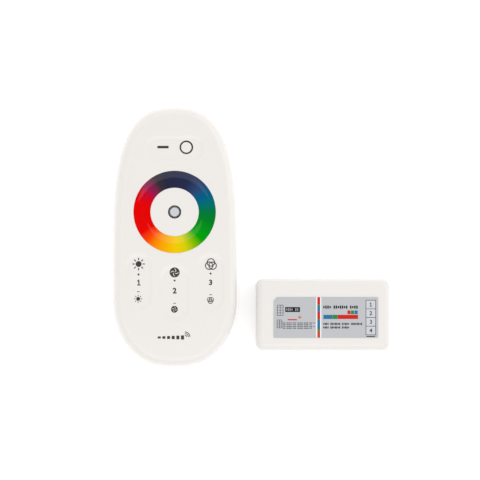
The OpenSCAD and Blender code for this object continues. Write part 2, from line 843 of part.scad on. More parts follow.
// Plug that carries the wires' clamps, with a nose that enters the header
module plug(poles) color(terminal_green) difference() {
    nose_in = header_wall + nose_fit;
    nose_half = header_w(poles) / 2 - nose_in;
    roof_z = plug_z + plug_h - plug_roof;
    socket_z = pin_z - pin_t / 2 - pin_fit - contact_t - seat_fit;
    socket_top = tongue_top + seat_fit;
    socket_end_x = nose_x + contact_lead + contact_l + seat_fit;
    chamber = cage_l / 2 + cage_play;
    union() {
        bar(shoulder_x, plug_end_x, plug_w(poles) / 2, plug_z, plug_z + plug_h);
        bar(nose_x, shoulder_x, nose_half, case_top_board + nose_in, case_top_board + header_h - nose_in);
    }
    for (i = [1 : poles]) translate([0, pole_y(i, poles), 0]) {
        bar(nose_x - overrun, socket_end_x, contact_w / 2 + seat_fit, socket_z, socket_top);
        bar(nose_x, clamp_x, tongue_w / 2 + seat_fit, tongue_z - seat_fit, socket_top);
        bar(clamp_x - chamber, clamp_x + chamber, cage_w / 2 + cage_play, plug_z + plug_floor, roof_z);
        post(driver_hole_r, plug_roof + 2 * overrun, [clamp_x, 0], roof_z - overrun);
        translate([clamp_x, 0, wire_z]) rotate([0, 90, 0])
            cylinder(r = wire_r, h = plug_end_x - clamp_x + overrun, $fn = 48);
        translate([plug_end_x - wire_mouth_l, 0, wire_z]) rotate([0, 90, 0])
            cylinder(r1 = wire_r, r2 = wire_mouth_r, h = wire_mouth_l, $fn = 48);
    }
}

// Spring contacts of a plug: a box that grips the pin, and a tongue through the cage
module plug_contacts(poles) color(tin)
    for (i = [1 : poles]) translate([nose_x + contact_lead, pole_y(i, poles), 0]) plug_contact();

module plug_contact() {
    hole = pin_t / 2 + pin_fit;
    difference() {
        bar(0, contact_l, contact_w / 2, pin_z - hole - contact_t, tongue_top);
        bar(-overrun, contact_l + overrun, hole, pin_z - hole, pin_z + hole);
    }
    bar(0, clamp_x + cage_l / 2 - nose_x - contact_lead, tongue_w / 2, tongue_z, tongue_top);
}

// Clamp screw of pole i, its tip on the tongue and its head under the plug's roof
module clamp_screw(i, poles) color(tin) translate([clamp_x, pole_y(i, poles), 0]) difference() {
    union() {
        post(clamp_screw_r, clamp_head_z - tongue_top - pin_fit, [0, 0], tongue_top + pin_fit);
        post(clamp_head_r, clamp_head_h, [0, 0], clamp_head_z);
    }
    slot_z = clamp_head_z + clamp_head_h - slot_depth;
    block([2 * clamp_head_r + overrun, slot_w, slot_depth + overrun], [0, 0], slot_z);
}

// Clamp cage of pole i, shown open: the screw draws it up against the tongue
module clamp_cage(i, poles) color("silver") translate([clamp_x, pole_y(i, poles), 0]) difference() {
    bar(-cage_l / 2, cage_l / 2, cage_w / 2, cage_z, cage_top);
    bar(-cage_l, cage_l, cage_w / 2 - cage_side_t, cage_z + cage_floor_t, cage_roof_z);
    post(clamp_screw_r + pin_fit, cage_roof_t + 2 * overrun, [0, 0], cage_roof_z - overrun);
}

// Three power transistors in a row from the board's lower edge, one for each colour
module power_transistors() at_receiver() for (k = [0 : transistors - 1]) {
    y = transistor[1] / 2 - edge_y + k * transistor_step;
    chip(transistor, [transistor_x, y], case_top_board, transistor_legs);
}

module smoothing_capacitor() at_receiver() {
    at = [free_x, 0];
    can_z = case_top_board + capacitor_foot[2];
    color(chip_black) block(capacitor_foot, at, case_top_board);
    color("silver") post(capacitor_r, capacitor_h - capacitor_foot[2], at, can_z);
}

// Regulator with three legs on one side and its tab on the other
module voltage_regulator() at_receiver() translate([regulator_in - case_l / 2, 0, 0]) rotate([0, 0, 90]) {
    leg_y = (regulator[1] + lead_l) / 2;
    color(chip_black) block(regulator, [0, 0], case_top_board);
    color(tin) for (k = [-1 : 1])
        block([lead_w, lead_l, lead_t], [k * regulator_step, leg_y], case_top_board);
    color(tin) block([regulator_tab_w, lead_l, lead_t], [0, -leg_y], case_top_board);
}

module receiver_chip() at_receiver()
    chip(receiver_chip_size, [free_x, receiver_chip_size[1] / 2 - edge_y],
        case_top_board, receiver_chip_legs);

module at_radio() at_receiver()
    translate([free_x, edge_y - radio_board[1] / 2, case_top_board]) children();

// Small radio board on two feet, with its chip
module radio_module() at_radio() {
    foot_shift = [(radio_board[0] - radio_foot[0]) / 2, 0];
    color("royalblue") block(radio_board, [0, 0], radio_foot[2]);
    for (s = [-1, 1]) color(tin) block(radio_foot, s * foot_shift);
    color(chip_black) block(radio_chip, radio_chip_shift, radio_foot[2] + radio_board[2]);
}

module radio_crystal() color(tin) at_radio()
    block(crystal, radio_crystal_shift, radio_foot[2] + radio_board[2]);

// Resistors in a row along the board's upper edge
module receiver_chip_parts() color(copper) at_receiver() for (k = [0 : case_small_parts - 1]) {
    at = [case_small_x + k * case_small_step, edge_y - small_part[0] / 2];
    block([small_part[1], small_part[0], small_part[2]], at, case_top_board);
}

module case_screws() at_receiver() for (p = case_bosses)
    screw(case_screw_head_r, case_screw_head_h, case_screw_r, case_screw_l, p, case_head_z);

front_cover();
wheel_ring();
indicator_lens();
rear_shell();
battery_door();
battery_left();
battery_right();
battery_springs();
battery_tabs();
bridge_contact();
handset_board();
touch_electrodes();
touch_chip();
handset_radio_chip();
handset_crystal();
indicator_led();
handset_chip_parts();
shell_screws();
receiver_base();
receiver_cover();
receiver_label();
receiver_board();
at_output() header(output_poles);  // output_header
at_output() header_pins(output_poles);  // output_header_pins
at_output() plug(output_poles);  // output_plug
at_output() plug_contacts(output_poles);  // output_plug_contacts
at_output() clamp_screw(1, output_poles);  // output_screw_1
at_output() clamp_screw(2, output_poles);  // output_screw_2
at_output() clamp_screw(3, output_poles);  // output_screw_3
at_output() clamp_screw(4, output_poles);  // output_screw_4
at_output() clamp_cage(1, output_poles);  // output_cage_1
at_output() clamp_cage(2, output_poles);  // output_cage_2
at_output() clamp_cage(3, output_poles);  // output_cage_3
at_output() clamp_cage(4, output_poles);  // output_cage_4
at_input() header(input_poles);  // input_header
at_input() header_pins(input_poles);  // input_header_pins
at_input() plug(input_poles);  // input_plug
at_input() plug_contacts(input_poles);  // input_plug_contacts
at_input() clamp_screw(1, input_poles);  // input_screw_1
at_input() clamp_screw(2, input_poles);  // input_screw_2
at_input() clamp_cage(1, input_poles);  // input_cage_1
at_input() clamp_cage(2, input_poles);  // input_cage_2
power_transistors();
smoothing_capacitor();
voltage_regulator();
receiver_chip();
radio_module();
radio_crystal();
receiver_chip_parts();
case_screws();
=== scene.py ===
"""Looks of an LED strip controller set, a touch handset and its receiver box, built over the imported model."""
import math

import bmesh
import bpy
from mathutils import Matrix, Vector


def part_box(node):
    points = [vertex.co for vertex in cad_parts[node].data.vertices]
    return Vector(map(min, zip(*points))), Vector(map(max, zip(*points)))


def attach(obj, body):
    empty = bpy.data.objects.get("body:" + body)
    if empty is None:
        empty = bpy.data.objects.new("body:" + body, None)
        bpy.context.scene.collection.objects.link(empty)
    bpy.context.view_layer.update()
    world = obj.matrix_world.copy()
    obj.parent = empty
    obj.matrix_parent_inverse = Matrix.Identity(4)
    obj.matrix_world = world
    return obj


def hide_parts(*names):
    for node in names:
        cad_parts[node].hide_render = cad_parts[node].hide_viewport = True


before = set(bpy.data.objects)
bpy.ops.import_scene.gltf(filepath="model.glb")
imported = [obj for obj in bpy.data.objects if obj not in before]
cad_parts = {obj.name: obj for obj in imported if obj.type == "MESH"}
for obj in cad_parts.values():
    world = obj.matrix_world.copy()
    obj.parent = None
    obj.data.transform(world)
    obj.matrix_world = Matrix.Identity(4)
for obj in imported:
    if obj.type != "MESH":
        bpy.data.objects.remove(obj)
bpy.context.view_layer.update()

# Front cover. One injection moulding in glossy white ABS, with a concave track for the colour wheel and four
# shallow finger recesses with soft edges. It is closed onto the rear shell by four screws from below, which
# bite into its posts. Sizes here and below are in mm, and heights are above the table.
MM = 0.001
WHEEL = (-33.1, 10.9)
COVER_TOP, COVER_CEILING, PARTING = 20.0, 18.4, 14.2
COVER_WALL, LIP_IN, LIP_RISE = 1.6, 0.9, 0.7
EDGE_WIDTH, EDGE_START, EDGE_STEPS = 4.0, 15.0, 20
INNER_EDGE_START, INNER_EDGE_STEPS = 15.1, 8
HALF_WIDTH, WIDEST_AT = 26.8, -27.0
# The outline's power across, power along and reach, above and below its widest place.
UPPER_CURVE, LOWER_CURVE = (2.6, 4.3, 83.0), (2.4, 2.0, 29.0)
PEBBLE_STEPS = 480
LENS_SEAT, LENS_SEAT_TOP, LENS_HOLE = 2.8, 19.3, 2.2
TRACK_IN, TRACK_OUT, TRACK_DEPTH, TRACK_CURVE, BED_DEPTH = 10.4, 17.7, 0.7, 9.866, 0.25
# A rim is made of steps outwards with drops below the top, and the parting edge of insets with rises.
TRACK_RIM = ((0, 0.1), (0.01, 0.05), (0.04, 0.02), (0.1, 0.005), (0.2, 0))
LENS_HOLE_RIM = ((0, 0.05), (0.01, 0.015), (0.045, 0))
PARTING_EDGE = ((0, 0.5), (0, 0.16), (0.04, 0.06), (0.12, 0))
TRACK_STEPS, FACE_START, FACE_STEPS = 16, 18.6, 110
MIDDLE_RINGS, TRACK_BORDER, CEILING_RING = (2.5, 6, 9.6), 18.3, 19
RECESS_DEPTH, RECESS_EASE, RECESS_SPILL = 0.3, 1.6, 0.3
# Middle, width and height of each finger recess, with x counted from the wheel's axis.
KEY_RECESSES = [(0, 38.2, 25, 10.4), (-15.5, -19.3, 11.4, 24.2), (15.5, -19.3, 11.4, 24.2),
                (0, -24.1, 12.6, 24)]
COVER_POSTS = ((17, 34), (19.8, -36))


def pebble_edge(turn):
    """Where a ray from the wheel's middle meets the handset's outline, with the outward normal there."""
    def beyond(x, y):
        rise = y - WIDEST_AT
        p, q, reach = UPPER_CURVE if rise > 0 else LOWER_CURVE
        slope_x = p * abs(x / HALF_WIDTH) ** (p - 1) / HALF_WIDTH
        slope_y = q * abs(rise / reach) ** (q - 1) / reach
        over = abs(x / HALF_WIDTH) ** p + abs(rise / reach) ** q - 1
        return over, math.copysign(slope_x, x), math.copysign(slope_y, rise)
    low, high = 10.0, 90.0
    for _ in range(50):
        middle = (low + high) / 2
        if beyond(middle * math.cos(turn), WHEEL[1] + middle * math.sin(turn))[0] < 0:
            low = middle
        else:
            high = middle
    x, y = low * math.cos(turn), WHEEL[1] + low * math.sin(turn)
    _, nx, ny = beyond(x, y)
    size = math.hypot(nx, ny)
    return x + WHEEL[0], y, nx / size, ny / size


pebble = [pebble_edge(2 * math.pi * i / PEBBLE_STEPS) for i in range(PEBBLE_STEPS)]


def pebble_ring(inset, z):
    """The handset's outline drawn in by inset, at height z."""
    return [(x - inset * nx, y - inset * ny, z) for x, y, nx, ny in pebble]


def circle(x, y, radius, z, steps):
    """A level circle about a point, at height z."""
    turns = [2 * math.pi * i / steps for i in range(steps)]
    return [(x + radius * math.cos(t), y + radius * math.sin(t), z) for t in turns]


def wheel_circle(radius, z, steps=PEBBLE_STEPS):
    """A circle about the wheel's axis, at height z."""
    return circle(*WHEEL, radius, z, steps)


def skin_rings(bm, rings, closed=False):
    """Skins a solid through rings that have as many points each; closed joins the last ring to the first."""
    around, along = len(rings[0]), len(rings) - (0 if closed else 1)
    drawn = bmesh.ops.create_grid(bm, x_segments=around, y_segments=along, size=0.5)["verts"]
    for v in drawn:
        i, j = round((v.co.x + 0.5) * around) % around, round((v.co.y + 0.5) * along) % len(rings)
        v.co = Vector(rings[j][i]) * MM
    bmesh.ops.remove_doubles(bm, verts=drawn, dist=1e-8)
    bmesh.ops.holes_fill(bm, edges=[e for e in bm.edges if e.is_boundary], sides=0)
    bmesh.ops.recalc_face_normals(bm, faces=bm.faces)


def keep_creases(bm, mesh, smooth_turn=32):
    """Writes a bmesh into a mesh that is smooth up to that angle in degrees and creased beyond it."""
    for f in bm.faces:
        f.smooth = True
    for e in bm.edges:
        e.smooth = len(e.link_faces) == 2 and e.calc_face_angle(0) < math.radians(smooth_turn)
    bm.to_mesh(mesh)
    bm.free()


def moulding(name, bm, smooth_turn=32):
    """Turns a finished bmesh into a named piece whose flats stay level beside its rounded edges."""
    mesh = bpy.data.meshes.new(name)
    keep_creases(bm, mesh, smooth_turn)
    piece = bpy.data.objects.new(name, mesh)
    bpy.context.scene.collection.objects.link(piece)
    level = piece.modifiers.new("level_flats", "WEIGHTED_NORMAL")
    level.keep_sharp = True
    return piece


def moulded_skin(name, rings, closed=False):
    """A moulding that is one solid skinned through rings."""
    bm = bmesh.new()
    skin_rings(bm, rings, closed)
    return moulding(name, bm)


def combine(piece, tool, operation):
    """Joins a tool shape to a moulding by UNION, or cuts it out by DIFFERENCE, and clears the tool away."""
    level = piece.modifiers["level_flats"]
    level.show_viewport = False
    change = piece.modifiers.new("tool", "BOOLEAN")
    change.operation, change.solver, change.object = operation, "EXACT", tool
    bm = bmesh.new()
    bm.from_object(piece, bpy.context.evaluated_depsgraph_get())
    piece.modifiers.remove(change)
    level.show_viewport = True
    keep_creases(bm, piece.data)
    bpy.data.objects.remove(tool)


def add_posts(cover, places, radius, bore, bottom, bore_end, top, ease=0.1, steps=48):
    """Moulds screw posts with blind bores and eased feet onto a cover's inside."""
    profile = ((bore, bore_end), (bore, bottom + ease), (bore + ease, bottom),
               (radius - ease, bottom), (radius, bottom + ease), (radius, top))
    bm = bmesh.new()
    for x, y in places:
        skin_rings(bm, [circle(x, y, r, z, steps) for r, z in profile])
    combine(cover, moulding("post_tool", bm), "UNION")


def key_dish(x, y):
    """Depth of the finger recesses at a place on the cover, with their edges eased."""
    depth = 0
    for kx, ky, w, h in KEY_RECESSES:
        r = min(w, h) / 2
        dx, dy = abs(x - WHEEL[0] - kx), abs(y - ky)
        inside = r - math.hypot(max(0, dx - (w / 2 - r)), max(0, dy - (h / 2 - r)))
        share = min(1, max(0, inside / RECESS_EASE + RECESS_SPILL))
        depth = max(depth, RECESS_DEPTH * share * share * (3 - 2 * share))
    return depth


def track_ring(share, inner, outer, below, steps=PEBBLE_STEPS):
    """A ring of the wheel's hollow track, or of what lies below it, at a share of the way across."""
    radius = inner + (outer - inner) * share
    from_middle = radius - (TRACK_IN + TRACK_OUT) / 2
    drop = math.sqrt((TRACK_CURVE + below) ** 2 - from_middle ** 2)
    return wheel_circle(radius, COVER_TOP - TRACK_DEPTH + TRACK_CURVE - drop, steps)


def top_face_ring(share):
    """A ring of the flat top between the wheel's rim and the start of the rounded edge."""
    inner, outer = wheel_circle(FACE_START, 0), pebble_ring(EDGE_WIDTH, 0)
    places = [(a[0] + share * (b[0] - a[0]), a[1] + share * (b[1] - a[1])) for a, b in zip(inner, outer)]
    return [(x, y, COVER_TOP - key_dish(x, y)) for x, y in places]


cover_rings = [wheel_circle(r, z) for r, z in (
    (LENS_SEAT, COVER_CEILING), (LENS_SEAT, LENS_SEAT_TOP), (LENS_HOLE, LENS_SEAT_TOP))]
cover_rings += [wheel_circle(LENS_HOLE + step, COVER_TOP - drop) for step, drop in LENS_HOLE_RIM]
cover_rings += [wheel_circle(r, COVER_TOP) for r in MIDDLE_RINGS]
cover_rings += [wheel_circle(TRACK_IN - step, COVER_TOP - drop) for step, drop in reversed(TRACK_RIM)]
cover_rings += [track_ring(k / TRACK_STEPS, TRACK_IN, TRACK_OUT, BED_DEPTH) for k in range(TRACK_STEPS + 1)]
cover_rings += [wheel_circle(TRACK_OUT + step, COVER_TOP - drop) for step, drop in TRACK_RIM]
cover_rings.append(wheel_circle(TRACK_BORDER, COVER_TOP))
cover_rings += [top_face_ring(k / FACE_STEPS) for k in range(FACE_STEPS + 1)]
for k in range(1, EDGE_STEPS + 1):
    turn = math.radians(90 - 90 * k / EDGE_STEPS)
    inset, rise = EDGE_WIDTH * (1 - math.cos(turn)), (COVER_TOP - EDGE_START) * math.sin(turn)
    cover_rings.append(pebble_ring(inset, EDGE_START + rise))
cover_rings += [pebble_ring(inset, PARTING + rise) for inset, rise in (
    *PARTING_EDGE, (LIP_IN, 0), (LIP_IN, LIP_RISE), (COVER_WALL, LIP_RISE))]
for k in range(INNER_EDGE_STEPS + 1):
    turn = math.radians(90 * k / INNER_EDGE_STEPS)
    inset = COVER_WALL + (EDGE_WIDTH - COVER_WALL) * (1 - math.cos(turn))
    rise = (COVER_CEILING - INNER_EDGE_START) * math.sin(turn)
    cover_rings.append(pebble_ring(inset, INNER_EDGE_START + rise))
cover_rings.append(wheel_circle(CEILING_RING, COVER_CEILING))
front_cover = moulded_skin("front_cover_moulding", cover_rings, closed=True)
add_posts(front_cover, [(WHEEL[0] + side * x, y) for side in (-1, 1) for x, y in COVER_POSTS],
          radius=2.4, bore=1.02, bottom=PARTING, bore_end=18, top=19.2)


def grain_group():
    """Shared surface grain: a faint drift of colour, an uneven gloss and a fine relief, in object space."""
    tree = bpy.data.node_groups.new("moulded_grain", "ShaderNodeTree")
    for label, way, kind in (("Colour", "INPUT", "Color"), ("Second colour", "INPUT", "Color"),
                             ("Patch scale", "INPUT", "Float"), ("Gloss", "INPUT", "Float"),
                             ("Gloss spread", "INPUT", "Float"), ("Grain scale", "INPUT", "Float"),
                             ("Relief", "INPUT", "Float"), ("Colour", "OUTPUT", "Color"),
                             ("Gloss", "OUTPUT", "Float"), ("Normal", "OUTPUT", "Vector")):
        tree.interface.new_socket(name=label, in_out=way, socket_type=f"NodeSocket{kind}")
    new, link = tree.nodes.new, tree.links.new
    given, out, place = new("NodeGroupInput"), new("NodeGroupOutput"), new("ShaderNodeTexCoord")
    patch, grain, mix = new("ShaderNodeTexNoise"), new("ShaderNodeTexNoise"), new("ShaderNodeMix")
    spread, bump = new("ShaderNodeMath"), new("ShaderNodeBump")
    mix.data_type, spread.operation = "RGBA", "MULTIPLY_ADD"
    patch.inputs["Detail"].default_value, grain.inputs["Detail"].default_value = 3, 2
    for texture, scale in ((patch, "Patch scale"), (grain, "Grain scale")):
        link(place.outputs["Object"], texture.inputs["Vector"])
        link(given.outputs[scale], texture.inputs["Scale"])
    link(patch.outputs["Fac"], mix.inputs["Factor"])
    link(given.outputs["Colour"], mix.inputs["A"])
    link(given.outputs["Second colour"], mix.inputs["B"])
    link(patch.outputs["Fac"], spread.inputs[0])
    link(given.outputs["Gloss spread"], spread.inputs[1])
    link(given.outputs["Gloss"], spread.inputs[2])
    link(grain.outputs["Fac"], bump.inputs["Height"])
    link(given.outputs["Relief"], bump.inputs["Distance"])
    link(mix.outputs["Result"], out.inputs["Colour"])
    link(spread.outputs[0], out.inputs["Gloss"])
    link(bump.outputs["Normal"], out.inputs["Normal"])
    return tree


moulded_grain = grain_group()


def finish(name, colour, second=None, gloss=0.3, spread=0.06, patch=60, grain=2000, relief=6e-6, metal=0,
           coat=0, more=()):
    """A material with colour, gloss and relief from the shared grain; more are other sockets' values."""
    made = bpy.data.materials.new(name)
    made.use_nodes = True
    shader = made.node_tree.nodes["Principled BSDF"]
    group = made.node_tree.nodes.new("ShaderNodeGroup")
    group.name, group.node_tree = "grain", moulded_grain
    second = second or [c * 0.94 for c in colour]
    for label, value in (("Colour", (*colour, 1)), ("Second colour", (*second, 1)), ("Patch scale", patch),
                         ("Gloss", gloss), ("Gloss spread", spread), ("Grain scale", grain),
                         ("Relief", relief)):
        group.inputs[label].default_value = value
    for label, socket in (("Colour", "Base Color"), ("Gloss", "Roughness"), ("Normal", "Normal")):
        made.node_tree.links.new(group.outputs[label], shader.inputs[socket])
    for label, value in (("Metallic", metal), ("Coat Weight", coat), ("Coat Roughness", 0.08), *more):
        shader.inputs[label].default_value = value
    return made


def dress(piece, material, slot, body, *nodes):
    """Gives a piece its material, the body it rides on and the CAD nodes it stands for; slot is not used."""
    piece.data.materials.append(material)
    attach(piece, body)
    if nodes:
        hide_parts(*nodes)
    return piece


glossy_white = finish(
    "glossy_white_plastic", (0.69, 0.665, 0.641), (0.678, 0.653, 0.627), gloss=0.13, spread=0.05, patch=25,
    grain=420, relief=2.5e-6, coat=0.35,
    more=(("Subsurface Weight", 0.06), ("Subsurface Radius", (1.0, 0.9, 0.8)), ("Subsurface Scale", 0.0012)))
dress(front_cover, glossy_white, "front_plastic", "handset", "front_cover")

# Colour wheel. A ring of clear film printed on its back with the hues of the strip in a full turn, pressed
# into the cover's concave track and held there by its adhesive.
FILM_IN, FILM_OUT, FILM_THICK = TRACK_IN + 0.02, TRACK_OUT - 0.02, 0.2
FILM_STEPS, FILM_TURNS = 24, 240
PRINT_STRENGTH = 0.78
# Screen colours by the turn in degrees, counted anticlockwise from the wheel's right side.
HUES = [(0, (0, 120, 60)), (16, (0, 108, 118)), (30, (0, 92, 136)), (48, (46, 66, 110)), (66, (36, 45, 78)),
        (105, (40, 40, 66)), (120, (54, 48, 56)), (136, (145, 24, 80)), (150, (204, 0, 40)),
        (165, (228, 0, 0)), (212, (232, 0, 0)), (226, (252, 72, 0)), (242, (251, 148, 0)),
        (272, (244, 203, 0)), (286, (218, 208, 0)), (300, (140, 190, 0)), (313, (0, 166, 0)),
        (345, (0, 130, 34)), (360, (0, 120, 60))]
film_rings = [track_ring(k / FILM_STEPS, FILM_IN, FILM_OUT, 0, FILM_TURNS) for k in range(FILM_STEPS + 1)]
film_rings += [track_ring(k / FILM_STEPS, FILM_OUT, FILM_IN, FILM_THICK, FILM_TURNS)
               for k in range(FILM_STEPS + 1)]
wheel_film = moulded_skin("wheel_film", film_rings, closed=True)


def linear(*rgb):
    """Linear colour of a screen colour in 0 to 255."""
    return tuple((c / 255 / 12.92) if c < 11 else ((c / 255 + 0.055) / 1.055) ** 2.4 for c in rgb)


def new_nodes(material, *kinds):
    """New shader nodes of those kinds in a material."""
    return [material.node_tree.nodes.new(f"ShaderNode{kind}") for kind in kinds]


wheel_print = finish("wheel_print", (0.5, 0, 0), gloss=0.07, spread=0.02, grain=900, relief=1e-6,
                     more=(("Specular IOR Level", 0.36),))
place, shift, part, turn, share, lap, ramp = new_nodes(
    wheel_print, "TexCoord", "VectorMath", "SeparateXYZ", "Math", "Math", "Math", "ValToRGB")
shift.operation, turn.operation, share.operation, lap.operation = "SUBTRACT", "ARCTAN2", "DIVIDE", "FRACT"
shift.inputs[1].default_value = (WHEEL[0] * MM, WHEEL[1] * MM, 0)
share.inputs[1].default_value = 2 * math.pi
while len(ramp.color_ramp.elements) < len(HUES):
    ramp.color_ramp.elements.new(0.5)
for stop, (angle, rgb) in zip(ramp.color_ramp.elements, HUES):
    stop.position, stop.color = angle / 360, (*(PRINT_STRENGTH * c for c in linear(*rgb)), 1)
link = wheel_print.node_tree.links.new
link(place.outputs["Object"], shift.inputs[0])
link(shift.outputs["Vector"], part.inputs["Vector"])
link(part.outputs["Y"], turn.inputs[0])
link(part.outputs["X"], turn.inputs[1])
link(turn.outputs[0], share.inputs[0])
link(share.outputs[0], lap.inputs[0])
link(lap.outputs[0], ramp.inputs["Fac"])
link(ramp.outputs["Color"], wheel_print.node_tree.nodes["Principled BSDF"].inputs["Base Color"])
dress(wheel_film, wheel_print, "wheel_film", "handset", "wheel_ring")

# Indicator lens. A small light guide of pale tinted acrylic, flanged so that it can't fall out, with a low
# domed face in the middle of the wheel over the board's LED.
LENS_RADIUS, LENS_BOTTOM, FLANGE_RADIUS, FLANGE_EASE, LENS_TURNS = 2.1, 18.9, 2.7, 0.02, 96
LENS_DOME = ((0, 0.14), (0.04, 0.08), (0.2, 0.055), (0.7, 0.035), (1.4, 0.025), (2.05, 0.02))
lens_profile = [(0.05, LENS_BOTTOM), (FLANGE_RADIUS - FLANGE_EASE, LENS_BOTTOM),
                (FLANGE_RADIUS, LENS_BOTTOM + FLANGE_EASE), (FLANGE_RADIUS, LENS_SEAT_TOP - FLANGE_EASE),
                (FLANGE_RADIUS - FLANGE_EASE, LENS_SEAT_TOP), (LENS_RADIUS, LENS_SEAT_TOP)]
lens_profile += [(LENS_RADIUS - step, COVER_TOP - drop) for step, drop in LENS_DOME]
lens = moulded_skin("indicator_lens_guide", [wheel_circle(r, z, LENS_TURNS) for r, z in lens_profile])
lens_acrylic = finish("lens_acrylic", (0.575, 0.592, 0.613), (0.545, 0.56, 0.58), gloss=0.12, patch=400,
                      coat=0.4, more=(("Transmission Weight", 0.12),))
dress(lens, lens_acrylic, "lens_plastic", "handset", "indicator_lens")

# Key legends. Dark grey ink, pad printed on the cover in one pass: the wheel's centre ring, the two upper
# keys, and the three columns for brightness, speed and mode with their key numbers and their plus and minus
# marks. Each mark's numbers are what its method below takes, with x from the wheel's axis.
INK_HEIGHT = 0.02
LEGEND_FLOOR, RIM_FLOOR = COVER_TOP - 0.012, COVER_TOP - 0.07
UPPER_DASH, UPPER_RING = (-5.0, 38.8, 4.8, 1.06), (5.05, 38.7, 2.93, 2.24)
LARGE_SUN, SMALL_SUN = (-15.5, -11.5, 1.28, 1.7, 2.68, 0.46), (-15.7, -26.5, 0.84, 1.1, 1.78, 0.31)
LEFT_PLUS, MIDDLE_PLUS, RIGHT_PLUS = (-15.5, -16.0, 0.95, 0.42), (0, -18.6, 0.9, 0.4), (15.5, -15.6, 0.9, 0.4)
LEFT_MINUS, MIDDLE_MINUS = (-15.6, -23.4, 1.15, 0.3), (0, -28.4, 1.15, 0.28)
RIGHT_MINUS = (15.5, -24.7, 1.15, 0.28)
LEFT_ONE, MIDDLE_TWO = (-15.4, -19.5, 2.5, 0.52), (0, -22.95, "2", 2.5, 0.1)
RIGHT_THREE = (15.5, -19.4, "3", 2.4, 0.1)
LARGE_FAN, SMALL_FAN = (0, -15.1), (-0.1, -31.0)
MODE_CIRCLES = ((15.6, -11.75, 0.86, 0.92, 1.8, 1.38, 48), (15.4, -27.1, 0.5, -0.5, 1.07, 0.77, 40))
RADIO_ARCS, RADIO_PLACE = (0.8, 1.5, 2.2), (4.4, -42.9)


